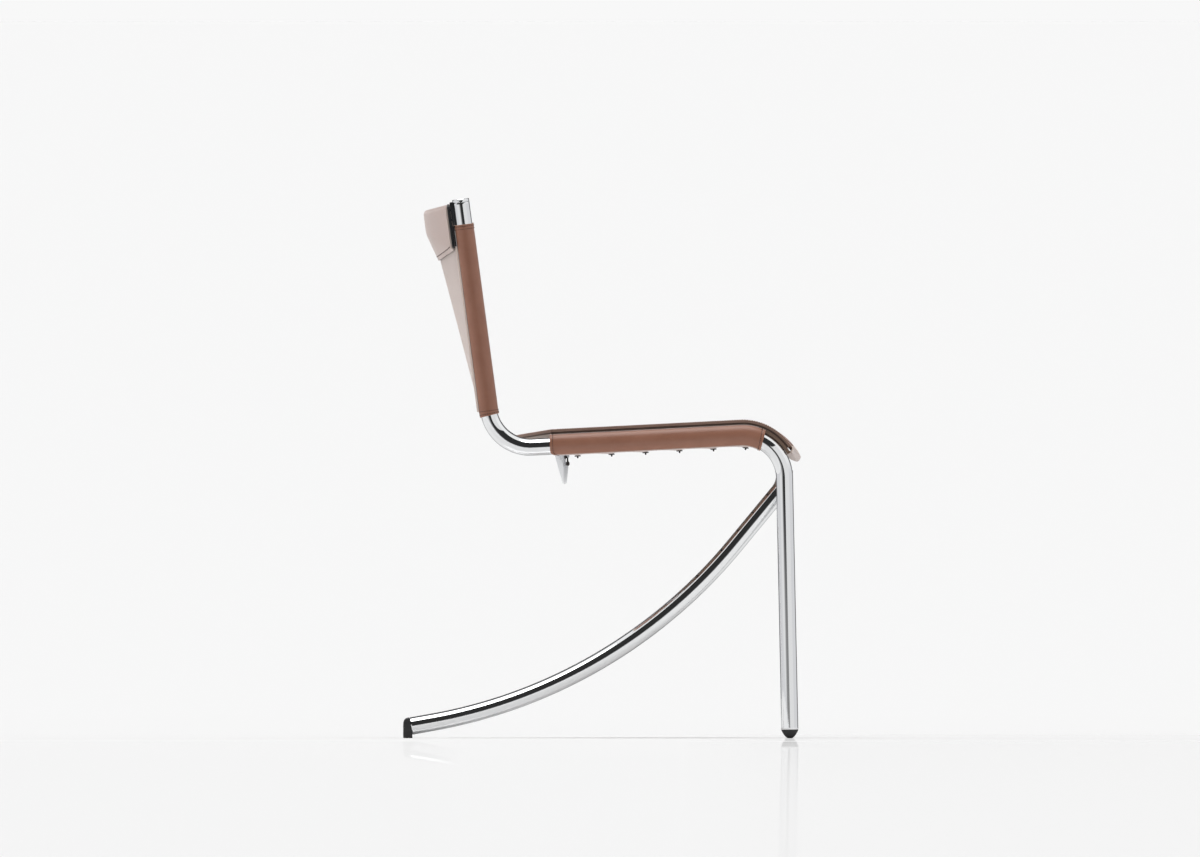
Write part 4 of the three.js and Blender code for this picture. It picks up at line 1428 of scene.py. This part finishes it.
def seat_sleeve_line(share, sign):
    """The sleeve's grain side at one share of its length, from under the seat's edge round the
    rail and in along the flap, which the lacing draws down a little at each eyelet."""
    line = []
    for angle in wrap_angles:
        rear, front = wrap_ends(math.sin(angle))
        along = rear + (front - rear) * share
        press = groove(min(along - rear, front - along) - wrap_seam, 0.3)
        line.append(wrap_point(along, angle, -press, sign))
    rear, front = sleeve_rear + 5.8, sleeve_front + 4.2
    along = rear + (front - rear) * share
    into = min(1, max(0.06, (along - flap_rear) / 6), max(0.06, (front - along) / 22 + 0.35))
    for reach in flap_steps:
        sag = drawn_down(along) * min(1, reach * into / 18)
        line.append(rail_point(along, -sleeve_outer - sag, sign * (half_spacing - reach * into)))
    return line


sleeve_span = sleeve_front - sleeve_rear
share_places = [v / sleeve_span for v in (0, 1.2, 2.4, 3.5, 4.2, 4.9, 6, 8)]
middle_share = 1 - 2 * share_places[-1]
far_places = [1 - v for v in reversed(share_places)]
share_places += [share_places[-1] + middle_share * k / 120 for k in range(1, 120)]
share_places += far_places
for name, sign in left_and_right:
    sleeve = leather_piece(
        f"seat_sleeve_leather_{name}",
        [seat_sleeve_line(share, sign) for share in share_places],
        sleeve_leather,
        sign * across_chair,
        [saddle_leather, flesh_side, raw_edge],
        [f"seat_sleeve_{name}"],
        ease=0.35,
    )
    for at_front in (False, True):
        line = []
        for angle in [math.radians(100 - 200 * k / 40) for k in range(41)]:
            rear, front = wrap_ends(math.sin(angle))
            along = front - wrap_seam if at_front else rear + wrap_seam
            spot = wrap_point(along, angle, proud, sign)
            inner = rail_point(along, 0, sign * half_spacing)
            line.append((spot, (spot - inner).normalized()))
        seams += stitches(line)

solid_piece("seat_stitching", seams, thread_finish, [])


# Front hem. A strip of the same leather closes the seat's front edge; between the tubes it
# turns back under the bar, and over them only its front face goes on. The bar is 16 x 3.7 mm
# flat steel, lacquered black, and a tab of lining leather is folded down over each of its ends.

hem_leather = 2.5
hem_turn = half_spacing - tube_radius - 4
hem_columns = [0, 25, 50, 75, 100, 125, 147, 167, 184, 198, 206, 211, hem_turn, 218, 222, 227]
hem_columns = mirrored([*hem_columns, 231.5])
face_rows = 9


def hem_line(across):
    """The hem's grain side at one place, from the seat's top edge down and back under the bar."""
    end = front_edge_at(across) + seam
    height = top_height + lie_at(end, across)
    under = tube_radius - hem_leather
    outline = rounded(
        [
            Vector((end - 3.4, 0, height)),
            Vector((end - 1.6, 0, height - 0.4)),
            Vector((end + 0.8, 0, height - 4.2)),
            Vector((end - 4.4, 0, under + 5.2)),
            Vector((end - 34, 0, under)),
        ],
        [1.4, 2.5, 6],
        gap=2.2,
    )
    return [rail_point(p.x, p.z, across) for p in resampled(outline, 30)]


def in_hem(i, j):
    """Over the tubes only the hem's front face goes on."""
    return i < face_rows or max(abs(hem_columns[j]), abs(hem_columns[j + 1])) <= hem_turn


hem = leather_piece(
    "front_hem_leather",
    rows_of(hem_line, hem_columns),
    hem_leather,
    Vector((1, 0, 0)),
    [saddle_leather, flesh_side, raw_edge],
    ["seat_front_hem"],
    keep=in_hem,
    ease=0.5,
)


def bar_shape(places, rear, front, low, high, steps):
    """A bar along the hem at places across the chair. Its rear and front edges are so far short
    of the seat's front edge, low and high are its faces, and steps bend it with the leather."""
    sections = []
    for y in places:
        start, end = front_edge_at(y) - rear, front_edge_at(y) - front
        stops = [start + (end - start) * k / steps for k in range(steps + 1)]
        upper = [rail_point(along, high, y) for along in stops]
        lower = [rail_point(along, low, y) for along in reversed(stops)]
        sections.append([lower[-1], *upper, *lower[:-1]])
    return strip_shape(sections, 0.5)


bar_low = tube_radius + seam
bar_high = 16.5
bar_places = [0, 25, 50, 75, 100, 125, 147, 167, 184, 198, 209, 217, 224, 229, 231.5]
solid_piece(
    "hem_flat_bar",
    [bar_shape(mirrored(bar_places), 20, 4, bar_low, bar_high, 2)],
    black_lacquer,
    ["seat_front_stiffener"],
)
tab_high = lining_height - lining_ply - seam
for name, sign in left_and_right:
    tab_places = [sign * y for y in (231.7, 232.2, 232.8, 233.3)]
    solid_piece(
        f"hem_end_tab_{name}",
        [bar_shape(tab_places, 46, -2.2, bar_low + seam, tab_high, 12)],
        lining_leather,
        [],
    )


# Stretcher. 3 mm steel strap, pressed to a shallow V and bowed down, broad where it is welded
# to the rails and narrow in the middle. Chromed. A round-ended slot near each end takes the
# lacing.

stretcher_half = 218.02
stretcher_middle = -260.1
stretcher_drop = 57.5
stretcher_bow = 47.5
strap = 3
v_depth = 2.5
slot_forward = 6
slot_radius = 3
slot_half = 12
slot_across = stretcher_half - 39

strap_chrome, tree, plate = finish_named("satin_chrome_plate_on_pressed_strap")
# Chrome over unpolished pressed steel: more blurred than the tubes, in patches of 11 mm. Its
# front half is painted darker than its rear half, a painted shade that stands in for the dimmer
# floor that facet would mirror.
place = add_node(tree, "TexCoord").outputs["Object"]
haze = add_node(tree, "TexNoise", {"Vector": place, "Scale": 90.0, "Detail": 4.0})
smear = add_node(tree, "MapRange", {"Value": haze, "To Min": 0.12, "To Max": 0.2})
ridge = rail_point(stretcher_middle, -30, 0).x
forward = add_node(tree, "SeparateXYZ", {0: place}).outputs["X"]
# Painted shade: the front half of the strap is coloured darker than the rear half.
painted_shade_front_half = add_node(
    tree,
    "MapRange",
    {"Value": forward, "From Min": mm * (ridge - 1.5), "From Max": mm * (ridge + 1.5)},
)
tone = add_node(
    tree, "Mix", {0: painted_shade_front_half, 6: colour("dfe0e3"), 7: colour("a0a1a5")}, data_type="RGBA"
)
join(plate, {"Metallic": 1, "Base Color": tone, "Roughness": smear})


def stretcher_height(across):
    """How high over the rail's axis the V's bottom lies."""
    return stretcher_bow * (across / stretcher_half) ** 2 - stretcher_drop


stretcher_sections = []
for y in mirrored([stretcher_half * k / 24 for k in range(25)]):
    out = (y / stretcher_half) ** 2
    half = (6.4 + 17.6 * out) / 2
    middle = stretcher_middle - 1.9 * out
    low = stretcher_height(y)
    top = [(-half, v_depth + strap), (0, strap), (half, v_depth + strap)]
    bottom = [(half, v_depth), (0, 0), (-half, v_depth)]
    stretcher_sections.append(
        [rail_point(middle + off, low + up, y) for off, up in top + bottom]
    )
stretcher = solid_piece(
    "pressed_stretcher",
    [strip_shape(stretcher_sections, 0.45)],
    strap_chrome,
    ["seat_stretcher"],
    crease=30,
)
slots = []
for _, sign in left_and_right:
    slot_middle = rail_point(
        stretcher_middle + slot_forward, stretcher_height(slot_across), sign * slot_across
    )
    rims = [[], []]
    for a in full_turn(24):
        end = slot_half if math.sin(a) >= 0 else -slot_half
        for rim, up in zip(rims, (-30, 30)):
            off = Vector((slot_radius * math.cos(a), end + slot_radius * math.sin(a), up))
            rim.append(slot_middle + off)
    slots.append(lofted(rims))
cut_out(stretcher, slots)


# Lacing. Black eyelets clenched in the flaps, six a side, and one waxed cord that crosses
# under the seat from eyelet to eyelet. It starts in the stretcher's slot and ends in a knot.

waxed_cord, tree, braid = finish_named("waxed_braided_cord")
# Tightly braided polyester, waxed: near black brown, its strands drawn as slanting ribs 1.5 mm
# apart, coarser than they are.
place = add_node(tree, "TexCoord").outputs["Object"]
strands = add_node(
    tree,
    "TexWave",
    {"Vector": place, "Scale": 420.0, "Distortion": 2.0},
    bands_direction="DIAGONAL",
).outputs["Fac"]
tone = add_node(
    tree, "Mix", {0: strands, 6: colour("1a1412"), 7: colour("3a2c26")}, data_type="RGBA"
)
ribs = add_node(tree, "Bump", {"Height": strands, "Strength": 0.6, "Distance": 0.0003})
join(braid, {"Base Color": tone, "Roughness": 0.6, "Normal": ribs})

eyelet_across = half_spacing - 20
# Radius and height round the eyelet's section: its flange below, its throat and its clench.
eyelet_flange = [(1.9, -14.9), (2.3, -15.35), (3.2, -15.45), (4.4, -15.3), (4.8, -14.95)]
eyelet_throat = [(4.6, -14.7), (3.0, -14.65), (3.0, -12.6)]
eyelet_clench = [(3.4, -12.35), (3.0, -12.2), (2.2, -12.35), (1.9, -12.8)]
eyelet_outline = eyelet_flange + eyelet_throat + eyelet_clench
for name, sign in left_and_right:
    for i, along in enumerate(eyelet_places, 1):
        origin = rail_point(along, -drawn_down(along), sign * eyelet_across)
        up = (origin - rail_point(along, -40, sign * eyelet_across)).normalized()
        stations = [(origin + height * up, up, radius) for radius, height in eyelet_outline]
        solid_piece(
            f"black_eyelet_{name}_{i}",
            [swept(stations, 32, across_chair, close=True)],
            black_lacquer,
            [f"lacing_eyelet_{name}_{i}"],
        )

cord_radius = 1.25
cord_bend = 2.2
above, below = -10.2, -18.6
slot_cord_y = slot_across + 7.5
slot_height = stretcher_height(slot_cord_y)
corners = [
    rail_point(stretcher_middle + slot_forward, slot_height - 4, -slot_cord_y),
    rail_point(stretcher_middle + slot_forward, slot_height + 9.5, -slot_cord_y),
    rail_point(stretcher_middle + 16, above, -slot_cord_y - 4),
]
side = -eyelet_across
for along in eyelet_places:
    for height, across in ((above, side), (below, side), (below, -side), (above, -side)):
        corners.append(rail_point(along, height, across))
    side = -side
corners.append(rail_point(last_eyelet + 14, above, side))
cord_path = bent_path(corners, [cord_bend] * (len(corners) - 2), turn_step=12)
cord = [(point, heading, cord_radius) for point, heading in cord_path]

knot_radius = 1.9
knot_length = 4.5
turn_radius = 0.95
coil_steps = 44
steps_a_turn = 16
knots = []
for at, axis in ((corners[0], Vector((0, 0, 1))), (corners[-1], rail_forward)):
    coil = []
    for k in range(coil_steps + 1):
        out = Quaternion(axis, 2 * math.pi * k / steps_a_turn) @ axis.orthogonal().normalized()
        climb = (k / coil_steps - 0.5) * knot_length * axis
        coil.append((at + knot_radius * out + climb, axis.cross(out), turn_radius))
    knots.append(swept(coil, 10, axis))
solid_piece(
    "waxed_lacing_cord",
    [swept(cord, 12, Vector((0.1, 1, 0.2))), *knots],
    waxed_cord,
    ["lacing_cord"],
)
